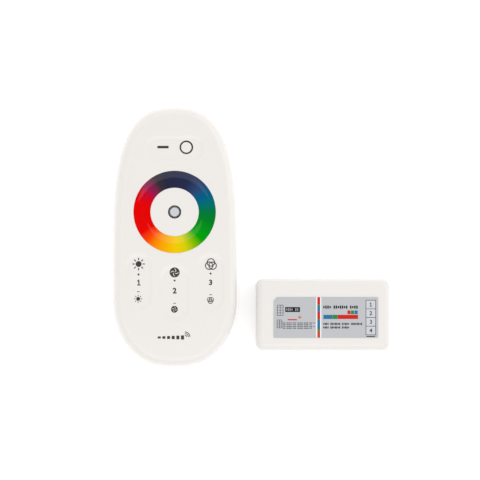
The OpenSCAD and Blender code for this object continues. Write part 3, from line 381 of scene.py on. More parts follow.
class InkSheet:
    """Flat printed marks on one height that become thin closed solids. Their x counts from origin_x."""

    def __init__(self, origin_x=0.0, bm=None):
        self.origin_x, self.bm = origin_x, bmesh.new() if bm is None else bm

    def placed(self, verts, x, y, turn=0.0):
        """Puts marks drawn about the origin at a place, turned by degrees."""
        move = Matrix.Translation((x + self.origin_x, y, 0)) @ Matrix.Rotation(math.radians(turn), 4, "Z")
        bmesh.ops.transform(self.bm, matrix=move, verts=verts)

    def bar(self, x, y, w, h, turn=0.0):
        made = bmesh.ops.create_grid(self.bm, x_segments=1, y_segments=1, size=0.5)["verts"]
        bmesh.ops.scale(self.bm, vec=(w, h, 1), verts=made)
        self.placed(made, x, y, turn)

    def disc(self, x, y, r, steps=40):
        made = bmesh.ops.create_circle(self.bm, cap_ends=True, segments=steps, radius=r)["verts"]
        self.placed(made, x, y)

    def ring(self, x, y, r_out, r_in, steps=64):
        rims = [bmesh.ops.create_circle(self.bm, segments=steps, radius=r)["verts"] for r in (r_out, r_in)]
        edges = {e for rim in rims for v in rim for e in v.link_edges}
        bmesh.ops.bridge_loops(self.bm, edges=list(edges))
        self.placed(rims[0] + rims[1], x, y)

    def nine_cells(self, spare):
        """A grid of three by three unit cells about the origin without the spare ones. Returns its points."""
        made = bmesh.ops.create_grid(self.bm, x_segments=3, y_segments=3, size=1.5)["verts"]
        faces = [f for f in {f for v in made for f in v.link_faces}
                 if tuple(round(c) for c in f.calc_center_median().xy) in spare]
        bmesh.ops.delete(self.bm, geom=faces, context="FACES")
        return [v for v in made if v.is_valid]

    def plus(self, x, y, size, stroke):
        kept = self.nine_cells(((-1, -1), (-1, 1), (1, -1), (1, 1)))
        for v in kept:
            v.co.x = math.copysign(stroke / 2 if abs(v.co.x) < 1 else size / 2, v.co.x)
            v.co.y = math.copysign(stroke / 2 if abs(v.co.y) < 1 else size / 2, v.co.y)
        self.placed(kept, x, y)

    def one(self, x, y, height, stroke):
        """The number 1 with its flag and foot."""
        kept = self.nine_cells(((-1, 0), (1, 0), (1, 1)))
        across = (-0.28 * height, -stroke / 2, stroke / 2, 0.28 * height)
        up = (-0.5 * height, 0.85 * stroke - 0.5 * height, 0.5 * height - stroke, 0.5 * height)
        for v in kept:
            i, j = round(v.co.x + 1.5), round(v.co.y + 1.5)
            v.co = (across[i], up[j] - (0.2 * height if i == 0 and j > 1 else 0), 0)
        self.placed(kept, x, y)

    def arc(self, x, y, radius, stroke, start, end, steps=10):
        made = bmesh.ops.create_grid(self.bm, x_segments=steps, y_segments=1, size=0.5)["verts"]
        for v in made:
            r, t = radius + stroke * v.co.y, math.radians(start + (end - start) * (v.co.x + 0.5))
            v.co = (r * math.cos(t), r * math.sin(t), 0)
        self.placed(made, x, y)

    def type_row(self, x_start, x_end, y, height):
        """A row of upright strokes in words of unlike lengths, in the place of a printed line."""
        step, word, letter, x = 0.66 * height, 0, 0, x_start + 0.2 * height
        while x < x_end - 0.2 * height:
            if letter < 4 + word * 3 % 5:
                self.bar(x, y, 0.46 * height, height * (1 if (letter + word) % 3 else 0.7))
                letter += 1
            else:
                word, letter = word + 1, 0
            x += step

    def sun(self, x, y, disc_r, ray_in, ray_out, stroke):
        self.disc(x, y, disc_r)
        for k in range(8):
            t, middle = math.radians(45 * k), (ray_in + ray_out) / 2
            self.bar(x + middle * math.cos(t), y + middle * math.sin(t), ray_out - ray_in, stroke, 45 * k)

    def blade(self, x, y, radius, turn):
        """One curved blade of a fan, wide in its middle and narrower towards its tip."""
        made = bmesh.ops.create_grid(self.bm, x_segments=8, y_segments=1, size=0.5)["verts"]
        for v in made:
            share = v.co.x + 0.5
            r = radius * (0.12 + 0.74 * share)
            half_width = (0.1 + 0.17 * math.sin(math.pi * share)) * (1 - share * 0.4)
            swing = math.radians(turn + 75 * share) + 2 * v.co.y * half_width
            v.co = (r * math.cos(swing), r * math.sin(swing), 0)
        self.placed(made, x, y)

    def number(self, x, y, text, height, weight):
        """A plain number in Blender's own face, made weight bolder."""
        curve = bpy.data.curves.new("number", "FONT")
        curve.body, curve.align_x, curve.align_y = text, "CENTER", "CENTER"
        curve.size, curve.offset = height, weight
        holder = bpy.data.objects.new("number", curve)
        glyph = bpy.data.meshes.new_from_object(holder)
        drawn = set(self.bm.verts)
        self.bm.from_mesh(glyph)
        made = [v for v in self.bm.verts if v not in drawn]
        low, high = ([pick(v.co[k] for v in made) for k in (0, 1)] for pick in (min, max))
        bmesh.ops.translate(self.bm, vec=(-(low[0] + high[0]) / 2, -(low[1] + high[1]) / 2, 0), verts=made)
        bmesh.ops.scale(self.bm, vec=Vector((1, 1, 1)) * height / (high[1] - low[1]), verts=made)
        self.placed(made, x, y)
        bpy.data.objects.remove(holder)
        bpy.data.curves.remove(curve)
        bpy.data.meshes.remove(glyph)

    def print_on(self, name, height, thickness=INK_HEIGHT):
        """The marks as one piece, thickness high over height, and lower where they lie in a finger recess."""
        bm = self.bm
        bmesh.ops.remove_doubles(bm, verts=bm.verts, dist=1e-5)
        bm.normal_update()
        bmesh.ops.reverse_faces(bm, faces=[f for f in bm.faces if f.normal.z < 0])
        flat = bm.faces[:] + bm.edges[:] + bm.verts[:]
        raised = bmesh.ops.extrude_face_region(bm, geom=flat, use_keep_orig=True)["geom"]
        upper = [v for v in raised if isinstance(v, bmesh.types.BMVert)]
        bmesh.ops.translate(bm, vec=(0, 0, thickness), verts=upper)
        bmesh.ops.recalc_face_normals(bm, faces=bm.faces)
        for v in bm.verts:
            v.co.z += height - key_dish(v.co.x, v.co.y)
        bmesh.ops.scale(bm, vec=(MM, MM, MM), verts=bm.verts)
        return moulding(name, bm)


legend_ink = finish("legend_ink", (0.03, 0.027, 0.027), (0.04, 0.036, 0.036), gloss=0.4, patch=500,
                    grain=6000, relief=1.5e-6)


def print_legend(name, sheet, height=LEGEND_FLOOR, ink=legend_ink):
    """Prints a sheet of marks on the front cover."""
    dress(sheet.print_on(name, height), ink, "front_plastic", "handset")


upper_marks = InkSheet(WHEEL[0])
upper_marks.bar(*UPPER_DASH)
upper_marks.ring(*UPPER_RING)
print_legend("upper_key_legends", upper_marks)

for name, height, r_out, r_in in (("centre_ring_legend", LEGEND_FLOOR, 2.86, 2.24),
                                  ("lens_rim_legend", RIM_FLOOR, 2.07, 1.93)):
    rim = InkSheet(WHEEL[0])
    rim.ring(0, WHEEL[1], r_out, r_in)
    print_legend(name, rim, height)

column_marks = InkSheet(WHEEL[0])
column_marks.sun(*LARGE_SUN)
column_marks.plus(*LEFT_PLUS)
column_marks.one(*LEFT_ONE)
column_marks.bar(*LEFT_MINUS)
column_marks.sun(*SMALL_SUN)
column_marks.disc(*LARGE_FAN, 2.16, 64)
column_marks.plus(*MIDDLE_PLUS)
column_marks.number(*MIDDLE_TWO)
column_marks.bar(*MIDDLE_MINUS)
column_marks.disc(*SMALL_FAN, 1.47, 48)
column_marks.plus(*RIGHT_PLUS)
column_marks.number(*RIGHT_THREE)
column_marks.bar(*RIGHT_MINUS)
print_legend("column_key_legends", column_marks)

for k in range(3):
    circle_marks = InkSheet(WHEEL[0])
    t = math.radians(90 + 120 * k)
    for x, y, across, up, r_out, r_in, steps in MODE_CIRCLES:
        circle_marks.ring(x + across * math.cos(t), y + up * math.sin(t), r_out, r_in, steps)
    print_legend(f"mode_circle_legend_{k + 1}", circle_marks, LEGEND_FLOOR + 0.001 * k)

fan_blades = InkSheet(WHEEL[0])
for k in range(4):
    fan_blades.blade(*LARGE_FAN, 2.0, 90 * k + 20)
    fan_blades.blade(*SMALL_FAN, 1.36, 90 * k + 20)
print_legend("fan_blade_legends", fan_blades, LEGEND_FLOOR + INK_HEIGHT - 0.005, glossy_white)

radio_marks = InkSheet(WHEEL[0])
for k in range(6):
    radio_marks.bar(-6.6 + 2.0 * k, -43.1, 1.3, 0.9 + 0.18 * k)
for r in RADIO_ARCS:
    radio_marks.arc(*RADIO_PLACE, r, 0.34, 0, 90)
print_legend("radio_mark_legend", radio_marks)

# Rear shell and battery door. Both are moulded in satin white ABS with a fine spark eroded texture, so that
# the handset doesn't slip in the hand; the door slides in two rails towards the handset's lower end.
MERGE_DISTANCE = 2e-7
FLAT_TURN, CAST_TURN, SHARP_TURN = 0.6, 34, 50


def cast_piece(node, name, bevel, material, slot, body, smooth_turn=CAST_TURN):
    """A piece cast from a CAD node, its loose triangles merged, flats joined and sharp edges eased."""
    bm = bmesh.new()
    bm.from_mesh(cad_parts[node].data)
    bmesh.ops.remove_doubles(bm, verts=bm.verts, dist=MERGE_DISTANCE)
    bmesh.ops.recalc_face_normals(bm, faces=bm.faces)
    bmesh.ops.dissolve_limit(bm, angle_limit=math.radians(FLAT_TURN), use_dissolve_boundaries=False,
                             verts=bm.verts, edges=bm.edges)
    if bevel:
        sharp = [e for e in bm.edges if len(e.link_faces) == 2 and e.calc_length() > 3 * bevel * MM
                 and e.calc_face_angle(0) > math.radians(SHARP_TURN)]
        bmesh.ops.bevel(bm, geom=sharp, offset=bevel * MM, offset_type="OFFSET", segments=2, profile=0.5,
                        affect="EDGES", clamp_overlap=True, material=-1)
    return dress(moulding(name, bm, smooth_turn), material, slot, body, node)


satin_white = finish("satin_white_plastic", (0.675, 0.65, 0.627), (0.66, 0.636, 0.612), gloss=0.42,
                     spread=0.08, patch=30, grain=3200, relief=1.1e-5)
cast_piece("rear_shell", "rear_shell_moulding", 0, satin_white, "rear_plastic", "handset")
cast_piece("battery_door", "battery_door_moulding", 0, satin_white, "rear_plastic", "battery_door")

# Cells and their contacts. Two AAA cells lying head to tail, each in a printed shrink sleeve that leaves its
# steel ends bare, with coiled springs of plated wire, stamped tabs and one bridge plate at the lower end.
CELLS = {"battery_left": (-38.6, 0.6, -44.1), "battery_right": (-27.6, -44.1, 0.6)}
CELL_HEIGHT, BARE_END, BARE_SIDE = 7.35, 4.9, 4
SLEEVE_BANDS = [(0.0, (0.3, 0.31, 0.33)), (0.7, (0.7, 0.7, 0.68)), (0.73, (0.016, 0.14, 0.16))]
cell_steel = finish("cell_end_steel", (0.62, 0.61, 0.58), gloss=0.28, spread=0.15, patch=900, grain=9000,
                    relief=1e-6, metal=1)
for node, (middle, flat_end, nub_end) in CELLS.items():
    sleeve = finish(f"{node}_sleeve", SLEEVE_BANDS[0][1], gloss=0.24, patch=120, grain=900, relief=1.5e-6,
                    coat=0.3)
    place, part, along, ramp = new_nodes(sleeve, "TexCoord", "SeparateXYZ", "MapRange", "ValToRGB")
    along.inputs["From Min"].default_value = flat_end * MM
    along.inputs["From Max"].default_value = nub_end * MM
    ramp.color_ramp.interpolation = "CONSTANT"
    ramp.color_ramp.elements.new(0.5)
    for stop, (position, colour) in zip(ramp.color_ramp.elements, SLEEVE_BANDS):
        stop.position, stop.color = position, (*colour, 1)
    link = sleeve.node_tree.links.new
    link(place.outputs["Object"], part.inputs["Vector"])
    link(part.outputs["Y"], along.inputs["Value"])
    link(along.outputs["Result"], ramp.inputs["Fac"])
    link(ramp.outputs["Color"], sleeve.node_tree.nodes["Principled BSDF"].inputs["Base Color"])
    cell = cast_piece(node, f"{node}_cell", 0.15, sleeve, "cell_wrap", "handset")
    cell.data.materials.append(cell_steel)
    for face in cell.data.polygons:
        off_axis = math.hypot(face.center.x / MM - middle, face.center.z / MM - CELL_HEIGHT)
        face.material_index = int(off_axis < (BARE_END if abs(face.normal.y) > 0.5 else BARE_SIDE))

spring_plate = finish("nickel_plate", (0.66, 0.64, 0.6), (0.6, 0.575, 0.53), gloss=0.24, spread=0.14,
                      patch=700, grain=7000, relief=1.2e-6, metal=1)
for node, name, bevel, smooth_turn in (("battery_springs", "battery_spring_coils", 0, 70),
                                       ("battery_tabs", "battery_tab_plates", 0.08, CAST_TURN),
                                       ("bridge_contact", "bridge_plate", 0.08, CAST_TURN)):
    cast_piece(node, name, bevel, spring_plate, "spring_steel", "handset", smooth_turn)

# Handset board and its parts. A green soldermask board with copper touch pads on its upper side and the touch
# chip, the radio controller, its crystal and six small parts on its lower side, all reflow soldered.
LEG_RISE = 0.27
soldermask = finish("green_soldermask", (0.012, 0.115, 0.05), (0.018, 0.15, 0.066), gloss=0.26, spread=0.08,
                    patch=250, grain=2600, relief=2e-6, coat=0.25)
place, slant, hatch, mask, mix = new_nodes(soldermask, "TexCoord", "Mapping", "TexBrick", "Math", "Mix")
slant.inputs["Rotation"].default_value = (0, 0, math.radians(45))
hatch.offset = 0
for label, value in (("Scale", 900), ("Mortar Size", 0.12), ("Mortar Smooth", 0.1), ("Brick Width", 1),
                     ("Row Height", 1), ("Color1", (0, 0, 0, 1)), ("Color2", (0, 0, 0, 1)),
                     ("Mortar", (1, 1, 1, 1))):
    hatch.inputs[label].default_value = value
mask.operation, mask.inputs[1].default_value, mix.data_type = "MULTIPLY", 0.6, "RGBA"
mix.inputs["B"].default_value = (0.05, 0.27, 0.11, 1)
link = soldermask.node_tree.links.new
link(place.outputs["Object"], slant.inputs["Vector"])
link(slant.outputs["Vector"], hatch.inputs["Vector"])
link(hatch.outputs["Color"], mask.inputs[0])
link(mask.outputs[0], mix.inputs["Factor"])
link(soldermask.node_tree.nodes["grain"].outputs["Colour"], mix.inputs["A"])
link(mix.outputs["Result"], soldermask.node_tree.nodes["Principled BSDF"].inputs["Base Color"])
bare_copper = finish("gilded_copper", (0.83, 0.52, 0.26), (0.76, 0.42, 0.19), gloss=0.3, spread=0.15,
                     patch=500, grain=6000, relief=1.4e-6, metal=1)
chip_epoxy = finish("chip_epoxy", (0.017, 0.017, 0.018), (0.026, 0.026, 0.028), gloss=0.52, patch=900,
                    grain=16000, relief=3e-6)
crystal_steel = finish("crystal_steel", (0.6, 0.6, 0.59), gloss=0.32, spread=0.18, patch=1500, grain=9000,
                       relief=1.2e-6, metal=1)
chip_ceramic = finish("chip_ceramic", (0.34, 0.22, 0.13), (0.1, 0.09, 0.08), gloss=0.35, patch=900,
                      grain=9000, relief=1.5e-6)
led_resin = finish("led_resin", (0.86, 0.84, 0.74), (0.9, 0.8, 0.5), gloss=0.25, patch=1400)
leg_tin = finish("solder_tin", (0.7, 0.7, 0.69), (0.6, 0.6, 0.6), gloss=0.3, spread=0.15, patch=1500,
                 grain=9000, relief=1.5e-6, metal=1)


def recoat(piece, material, chosen):
    """Gives a second material to the faces of a piece whose middle is chosen."""
    piece.data.materials.append(material)
    for face in piece.data.polygons:
        if chosen(face.center / MM):
            face.material_index = len(piece.data.materials) - 1


def cast_chip(node, name, body, hangs=False):
    """A chip's epoxy package with legs of solder tin, on top of its board or hanging below it."""
    made = cast_piece(node, name, 0.06, chip_epoxy, "chip_black", body)
    low, high = (corner.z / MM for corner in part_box(node))
    recoat(made, leg_tin, lambda middle: middle.z > high - LEG_RISE if hangs else middle.z < low + LEG_RISE)


cast_piece("handset_board", "handset_board_laminate", 0.05, soldermask, "board_laminate", "handset")
cast_piece("touch_electrodes", "touch_pad_copper", 0, bare_copper, "copper_pads", "handset")
cast_chip("touch_chip", "touch_chip_package", "handset", hangs=True)
cast_chip("handset_radio_chip", "handset_radio_package", "handset", hangs=True)
cast_piece("handset_crystal", "handset_crystal_can", 0.18, crystal_steel, "crystal_can", "handset")
cast_piece("indicator_led", "indicator_led_package", 0.08, led_resin, "led_body", "handset")
cast_piece("handset_chip_parts", "handset_small_parts", 0.08, chip_ceramic, "small_parts", "handset")

# Shell screws. Four zinc plated pan head screws with a cross recess, driven from below into the cover's
# posts.
zinc_plate = finish("zinc_plate", (0.6, 0.6, 0.62), (0.52, 0.52, 0.55), gloss=0.3, spread=0.18, patch=900,
                    grain=8000, relief=1.6e-6, metal=1)
cast_piece("shell_screws", "shell_screw_set", 0.12, zinc_plate, "screw_steel", "handset")

# Receiver base and cover. Glossy white ABS: a low tray and a cover with soft shoulders, four posts and four
# ribs, closed by four screws from below, with one opening in the right end and one in the front side for the
# plugs.
CASE, CASE_HALF, CASE_CORNER = (30.9, -33.6), (29.0, 15.5), 3.2
CASE_TOP, CASE_WALL, CASE_EDGE, CASE_LIP = 15.4, 1.6, 3.0, 0.8
CASE_EDGE_STEPS, INNER_CORNER_STEPS, CEILING_INSET = 20, 8, 2.9
CASE_FOOT = ((CASE_WALL, 1), (CASE_LIP, 0.9), (CASE_LIP, 0), (0.1, 0), (0.03, 0.04), (0, 0.12), (0, 4.6))
BOARD_TOP, INSIDE_TOP = 3.4, 14.6
CASE_POST_X, CASE_POST_Y = 24, 11.105
RIBS_X, RIB_Y, RIB_HALF = (-7.8, 4), 12.8, (0.7, 0.6)
OUTPUT_HALF, INPUT_HALF, INPUT_IN = 8.32, 4.51, 13.2
OPENING_BOTTOM, OPENING_TOP, OPENING_IN = 2, 13.5, 1.9


def case_ring(inset, z, steps=14):
    """The case's rounded oblong drawn in by inset, at height z."""
    places = []
    for k in range(4):
        side_x, side_y = (1 if k in (0, 3) else -1), (1 if k < 2 else -1)
        for j in range(steps + 1):
            t = math.pi / 2 * (k + j / steps)
            x = CASE[0] + side_x * (CASE_HALF[0] - CASE_CORNER) + (CASE_CORNER - inset) * math.cos(t)
            y = CASE[1] + side_y * (CASE_HALF[1] - CASE_CORNER) + (CASE_CORNER - inset) * math.sin(t)
            places.append((x, y, z))
    return places


def shoulder_rings(outer_inset, radius, turns):
    """Rings of the case's rounded shoulder, or of the one inside it, at turns in degrees."""
    angles = [math.radians(turn) for turn in turns]
    return [case_ring(outer_inset + radius * (1 - math.cos(t)), CASE_TOP - CASE_EDGE + radius * math.sin(t))
            for t in angles]


def cuboid(low, high):
    """A block from one corner to the other, as a tool shape."""
    bm = bmesh.new()
    bmesh.ops.create_cube(bm, size=1)
    for v in bm.verts:
        v.co = Vector(((low if v.co[k] < 0 else high)[k] for k in range(3))) * MM
    return moulding("block_tool", bm)


shell_rings = [case_ring(CEILING_INSET, CASE_TOP - CASE_WALL)]
shell_rings += shoulder_rings(CASE_WALL, CASE_EDGE - CASE_WALL,
                              [90 - 90 * k / INNER_CORNER_STEPS for k in range(1, INNER_CORNER_STEPS + 1)])
shell_rings += [case_ring(inset, BOARD_TOP + rise) for inset, rise in CASE_FOOT]
shell_rings += shoulder_rings(0, CASE_EDGE, [90 * k / CASE_EDGE_STEPS for k in range(CASE_EDGE_STEPS + 1)])
case_cover = moulded_skin("receiver_cover_moulding", shell_rings)
add_posts(case_cover, [(CASE[0] + side_x * CASE_POST_X, CASE[1] + side_y * CASE_POST_Y)
                       for side_x in (-1, 1) for side_y in (-1, 1)],
          radius=2.495, bore=0.92, bottom=BOARD_TOP, bore_end=9.4, top=INSIDE_TOP)
for rib_x in RIBS_X:
    for side in (-1, 1):
        x, y = CASE[0] + rib_x, CASE[1] + side * RIB_Y
        combine(case_cover, cuboid((x - RIB_HALF[0], y - RIB_HALF[1], BOARD_TOP),
                                   (x + RIB_HALF[0], y + RIB_HALF[1], INSIDE_TOP)), "UNION")
right_end, front_side = CASE[0] + CASE_HALF[0], CASE[1] - CASE_HALF[1]
input_x = CASE[0] - CASE_HALF[0] + INPUT_IN
for low, high in (((right_end - OPENING_IN, CASE[1] - OUTPUT_HALF), (right_end + 1, CASE[1] + OUTPUT_HALF)),
                  ((input_x - INPUT_HALF, front_side - 1), (input_x + INPUT_HALF, front_side + OPENING_IN))):
    combine(case_cover, cuboid((*low, OPENING_BOTTOM), (*high, OPENING_TOP)), "DIFFERENCE")
case_white = finish(
    "case_white_plastic", (0.69, 0.665, 0.643), (0.676, 0.651, 0.628), gloss=0.17, spread=0.06, patch=35,
    grain=500, relief=2.5e-6, coat=0.3, more=(("Subsurface Weight", 0.05), ("Subsurface Scale", 0.001)))
dress(case_cover, case_white, "case_plastic", "receiver", "receiver_cover")
cast_piece("receiver_base", "receiver_base_moulding", 0, case_white, "case_plastic", "receiver")

# Label. Grey polyester film with one corner cut, stuck flat on the cover, and its prints: bars and blocks
# stand for lines of type, with a striped divider and four numbered cells beside the output plug.
LABEL_LEFT, LABEL_RIGHT, LABEL_FRONT, LABEL_BACK = 9.5, 54.7, -43.4, -25.8
LABEL_THICK, LABEL_TOP = 0.15, 15.55
LABEL_CUT, LABEL_CORNER = 1.5, 0.45
PRINT_HEIGHT, PRINT_SINK, LINE_SINK, SINKS = 0.014, 0.009, 0.0095, {"pale": 0.012, "silver": 0.006}
INK_STRENGTH = 0.8
STRIPE_X, STRIPE_WIDTH = 29.02, 1.21
CELL_X, CELL_Y, CELL_PITCH = 51.52, -29.03, 3.74
GRIDS = ((12.4, -31.5, 2.5, 4.4), (12.1, -37.4, 2.1, 3.4))
# For each ink its screen colour, the stripe's stretches as y and height, and bars as x, y, width and height.
PRINTS = {
    "red": ((208, 26, 16), [(-27.45, 3.2), (-33.71, 3.24)],
            [(42.1, -32.4, 1.35, 1.6), (41.6, -34.38, 8.8, 1.8), (17.6, -35.6, 4.0, 0.5)]),
    "brick": ((198, 70, 36), [(-41.83, 3.04)], []),
    "green": ((36, 140, 62), [(-29.38, 0.64), (-35.65, 0.65), (-39.76, 1.08)],
              [(43.6, -32.4, 1.35, 1.6), (36.1, -34.38, 2.1, 1.8)]),
    "blue": ((36, 116, 164), [(-30.89, 2.39), (-37.6, 3.24)],
             [(45.15, -32.4, 1.4, 1.6), (33.0, -34.38, 4.0, 1.8)]),
    "white": ((246, 248, 250), [], [(28.15, -34.6, 0.5, 17.5), (29.9, -34.6, 0.5, 17.5)]),
    "dark": ((20, 20, 24), [], [(17.73, -31.2, 6.4, 2.1)]),
    "grey": ((52, 53, 58), [], [(51.5, -42.85, 3.8, 0.42)]),
    "pale": ((208, 210, 215), [], [(CELL_X, -34.64, 4.2, 15.0)]),
    "silver": ((150, 151, 154), [], []),
}
TYPE_ROWS = {
    "grey": [(13.5, 27.3 - 1.1 * (k % 2), -37.0 - 0.76 * k, 0.5) for k in range(4)],
    "dark": [(31.0, 46.4, -30.15, 1.35), (31.0, 48.2, -37.4, 0.95), (31.0, 42.5, -38.95, 0.95)],
    "silver": [(14.9, 20.7, -31.2, 1.2)],
}
bm = bmesh.new()
bmesh.ops.create_grid(bm, x_segments=1, y_segments=1, size=0.5)
for v in bm.verts:
    v.co.x, v.co.y = LABEL_LEFT if v.co.x < 0 else LABEL_RIGHT, LABEL_FRONT if v.co.y < 0 else LABEL_BACK
for is_cut, offset, steps in ((True, LABEL_CUT, 1), (False, LABEL_CORNER, 5)):
    corners = [v for v in bm.verts if (v.co.x < LABEL_LEFT + 10 and v.co.y > LABEL_BACK - 4) == is_cut]
    bmesh.ops.bevel(bm, geom=corners, offset=offset, offset_type="OFFSET", segments=steps, profile=0.5,
                    affect="VERTICES", material=-1)
label_film = finish("label_film", (0.42, 0.43, 0.447), (0.407, 0.416, 0.433), gloss=0.34, spread=0.06,
                    patch=80, grain=5200, relief=2e-6)
label_sheet = InkSheet(bm=bm).print_on("label_film_sheet", CASE_TOP, LABEL_THICK)
dress(label_sheet, label_film, "label_film", "receiver", "receiver_label")

sheets = {colour: InkSheet() for colour in PRINTS}
for colour, (rgb, stripe, bars) in PRINTS.items():
    for y, h in stripe:
        sheets[colour].bar(STRIPE_X, y, STRIPE_WIDTH, h)
    for bar in bars:
        sheets[colour].bar(*bar)
for colour, rows in TYPE_ROWS.items():
    for row in rows:
        sheets[colour].type_row(*row)
for r in (0.55, 1.0, 1.45):
    sheets["red"].arc(20.1, -35.4, r, 0.26, 20, 80)
for k in range(5):
    sheets["grey"].bar(CELL_X, -27.16 - CELL_PITCH * k, 4.4, 0.24)
for x, y, w, h in GRIDS:
    sheets["grey"].bar(x, y + h / 2, w, 0.22)
    sheets["grey"].bar(x, y - h / 2, w, 0.22)
sheets["dark"].one(CELL_X, CELL_Y, 1.75, 0.3)
for k in range(1, 4):
    sheets["dark"].number(CELL_X, CELL_Y - CELL_PITCH * k, str(k + 1), 1.75, 0.03)
for colour, sheet in sheets.items():
    ink = finish(f"{colour}_ink", [INK_STRENGTH * c for c in linear(*PRINTS[colour][0])], gloss=0.34,
                 patch=300, grain=5200, relief=1.5e-6, more=(("Specular IOR Level", 0.2),))
    piece = sheet.print_on(f"label_print_{colour}", LABEL_TOP - SINKS.get(colour, PRINT_SINK), PRINT_HEIGHT)
    dress(piece, ink, "label_film", "receiver")

side_lines = InkSheet()
for x in (49.42, 53.62):
    side_lines.bar(x, -34.64, 0.24, 15.1)
for x, y, w, h in GRIDS:
    side_lines.bar(x - w / 2, y, 0.22, h)
    side_lines.bar(x + w / 2, y, 0.22, h)
    side_lines.bar(x, y, 0.2, h)
    for k in range(1, 4):
        side_lines.bar(x, y - h / 2 + h * k / 4, w, 0.16)
frame_lines = side_lines.print_on("label_frame_lines", LABEL_TOP - LINE_SINK, PRINT_HEIGHT)
dress(frame_lines, bpy.data.materials["grey_ink"], "label_film", "receiver")

# Terminals. Green nylon headers on the board and the plugs that push into them, with tin plated brass pins
# and tongues, and zinc plated clamp screws that draw wire cages up against the tongues.
terminal_nylon = finish("terminal_nylon", (0.012, 0.16, 0.058), (0.018, 0.19, 0.07), gloss=0.36, spread=0.1,
                        patch=200, grain=3000, relief=6e-6, more=(("Specular IOR Level", 0.32),))
pin_tin = finish("tinned_brass", (0.72, 0.7, 0.63), (0.66, 0.62, 0.52), gloss=0.26, spread=0.14, patch=900,
                 grain=8000, relief=1.2e-6, metal=1)
clamp_zinc = finish("clamp_zinc", (0.63, 0.63, 0.65), (0.54, 0.54, 0.57), gloss=0.28, spread=0.16, patch=1200,
                    grain=9000, relief=1.4e-6, metal=1)
for side, poles in (("output", 4), ("input", 2)):
    header, plug = f"{side}_header", f"{side}_plug"
    cast_piece(header, f"{header}_socket", 0.1, terminal_nylon, "terminal_plastic", "receiver")
    cast_piece(plug, f"{plug}_body", 0.12, terminal_nylon, "terminal_plastic", plug)
    cast_piece(f"{header}_pins", f"{header}_pin_row", 0.1, pin_tin, "tinned_brass", "receiver")
    cast_piece(f"{plug}_contacts", f"{side}_contact_row", 0.05, pin_tin, "tinned_brass", plug)
    for i in range(1, poles + 1):
        screw, cage = f"{side}_screw_{i}", f"{side}_cage_{i}"
        cast_piece(screw, f"{side}_clamp_screw_{i}", 0.06, clamp_zinc, "clamp_steel", screw)
        cast_piece(cage, f"{side}_clamp_cage_{i}", 0.05, clamp_zinc, "clamp_steel", cage)

# Receiver board and its parts. The board carries both headers, three power transistors, the smoothing
# capacitor, the regulator by the input, the controller chip and a small radio board, all reflow soldered.
CAN_BASE_TOP, CAN_MARK_BOTTOM, CAN_MARK_WIDTH = BOARD_TOP + 0.85, BOARD_TOP + 7.65, 2
RADIO_PADS_TOP, RADIO_CHIP_BOTTOM = BOARD_TOP + 0.55, BOARD_TOP + 1.45
cast_piece("receiver_board", "receiver_board_laminate", 0.05, soldermask, "board_laminate", "receiver")
cast_chip("power_transistors", "power_transistor_row", "receiver")
cast_chip("voltage_regulator", "voltage_regulator_package", "receiver")
cast_chip("receiver_chip", "receiver_chip_package", "receiver")
can_aluminium = finish("can_aluminium", (0.72, 0.72, 0.73), (0.66, 0.66, 0.68), gloss=0.25, spread=0.12,
                       patch=700, grain=6000, relief=1.4e-6, metal=1)
radio_mask = finish("blue_soldermask", (0.012, 0.05, 0.2), (0.018, 0.07, 0.26), gloss=0.25, patch=500,
                    grain=3000, relief=2e-6, coat=0.2)
can = cast_piece("smoothing_capacitor", "smoothing_capacitor_can", 0.2, can_aluminium, "capacitor_can",
                 "receiver")
mark_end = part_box("smoothing_capacitor")[0].x / MM + CAN_MARK_WIDTH
recoat(can, chip_epoxy, lambda middle: middle.z < CAN_BASE_TOP)
recoat(can, chip_epoxy, lambda middle: middle.z > CAN_MARK_BOTTOM and middle.x < mark_end)
radio = cast_piece("radio_module", "radio_module_board", 0.06, radio_mask, "radio_board", "receiver")
recoat(radio, chip_epoxy, lambda middle: middle.z > RADIO_CHIP_BOTTOM)
recoat(radio, leg_tin, lambda middle: middle.z < RADIO_PADS_TOP)
cast_piece("radio_crystal", "radio_crystal_can", 0.18, crystal_steel, "crystal_can", "receiver")
cast_piece("receiver_chip_parts", "receiver_small_parts", 0.08, chip_ceramic, "small_parts", "receiver")
cast_piece("case_screws", "case_screw_set", 0.1, zinc_plate, "screw_steel", "receiver")

# Stage. A white sweep under the set, an even white surround that mirrors only softly, and four softboxes: one
# high in front for the wheel's upper arc, two behind the set for the shoulders and one low at the right. Here
# sizes are in metres.
SWEEP_HALF, SWEEP_DROP = 1.5, 0.0002
CAMERA_PLACE, CAMERA_LENS, CAMERA_SENSOR = (-0.00497, -0.00117, 1.167), 200, 36
bm = bmesh.new()
bmesh.ops.create_grid(bm, x_segments=1, y_segments=1, size=SWEEP_HALF)
bmesh.ops.translate(bm, vec=(0, 0, -SWEEP_DROP), verts=bm.verts)
floor = moulding("white_sweep", bm)
sweep = bpy.data.materials.new("sweep_paper")
sweep.use_nodes = True
paper = sweep.node_tree.nodes["Principled BSDF"]
choice, clear, facing, path, either = new_nodes(
    sweep, "MixShader", "BsdfTransparent", "NewGeometry", "LightPath", "Math")
either.operation, either.use_clamp = "ADD", True
for label, value in (("Base Color", (0.78, 0.78, 0.78, 1)), ("Emission Color", (1, 1, 1, 1)),
                     ("Emission Strength", 0.3), ("Roughness", 1), ("Specular IOR Level", 0)):
    paper.inputs[label].default_value = value
link = sweep.node_tree.links.new
link(facing.outputs["Backfacing"], either.inputs[0])
link(path.outputs["Transparent Depth"], either.inputs[1])
link(either.outputs[0], choice.inputs[0])
link(paper.outputs[0], choice.inputs[1])
link(clear.outputs[0], choice.inputs[2])
link(choice.outputs[0], sweep.node_tree.nodes["Material Output"].inputs["Surface"])
floor.data.materials.append(sweep)

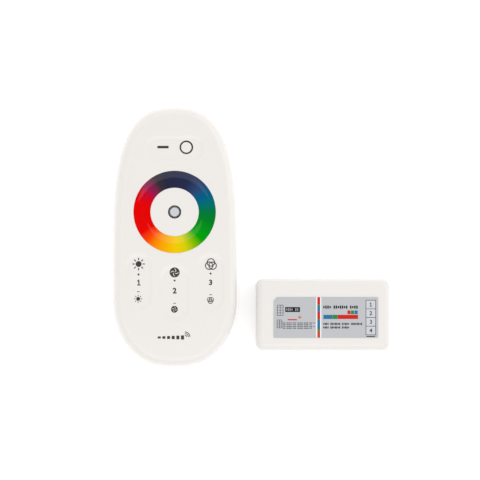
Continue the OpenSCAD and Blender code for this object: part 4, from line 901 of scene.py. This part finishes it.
scene = bpy.context.scene
scene.view_settings.view_transform = "Standard"
world = bpy.data.worlds.new("studio")
scene.world = world
world.use_nodes = True
strength = world.node_tree.nodes["Background"]
strength.inputs["Strength"].default_value = 1.13
path, tone, aim, height, dome = new_nodes(world, "LightPath", "Mix", "TexCoord", "SeparateXYZ", "ValToRGB")
tone.data_type = "RGBA"
tone.inputs["A"].default_value = (1, 1, 1, 1)
for stop, position, level in zip(dome.color_ramp.elements, (0.4, 0.8), (0.5, 0.03)):
    stop.position, stop.color = position, (level, level, level, 1)
link = world.node_tree.links.new
link(aim.outputs["Generated"], height.inputs["Vector"])
link(height.outputs["Z"], dome.inputs["Fac"])
link(dome.outputs["Color"], tone.inputs["B"])
link(path.outputs["Is Glossy Ray"], tone.inputs["Factor"])
link(tone.outputs["Result"], strength.inputs["Color"])


def softbox(name, azimuth, elevation, distance, size, power, aim=(0, 0, 0.01)):
    """An oblong soft light at that bearing and height, aimed at the set; the camera doesn't see it."""
    a, e = math.radians(azimuth), math.radians(elevation)
    heading = Vector((math.cos(a) * math.cos(e), math.sin(a) * math.cos(e), math.sin(e)))
    place = Vector(aim) + distance * heading
    towards = (Vector(aim) - place).to_track_quat("-Z", "Y").to_matrix().to_4x4()
    data = bpy.data.lights.new(name, "AREA")
    data.shape, data.size, data.size_y, data.energy = "RECTANGLE", *size, power
    box = bpy.data.objects.new(name, data)
    box.matrix_world = Matrix.Translation(place) @ towards
    box.visible_camera = False
    scene.collection.objects.link(box)


softbox("wheel_softbox", -90, 65, 0.9, (0.75, 0.62), 1.3)
softbox("left_softbox", 118, 36, 0.8, (0.6, 0.3), 0.32)
softbox("right_softbox", 50, 38, 0.8, (0.6, 0.3), 0.5)
softbox("side_softbox", 8, 28, 0.9, (0.4, 0.5), 0.4)

camera = bpy.data.objects.new("camera", bpy.data.cameras.new("camera"))
scene.collection.objects.link(camera)
camera.data.lens, camera.data.sensor_width = CAMERA_LENS, CAMERA_SENSOR
camera.location = CAMERA_PLACE
camera.data.clip_start, camera.data.clip_end = 0.01, 20
scene.camera = camera
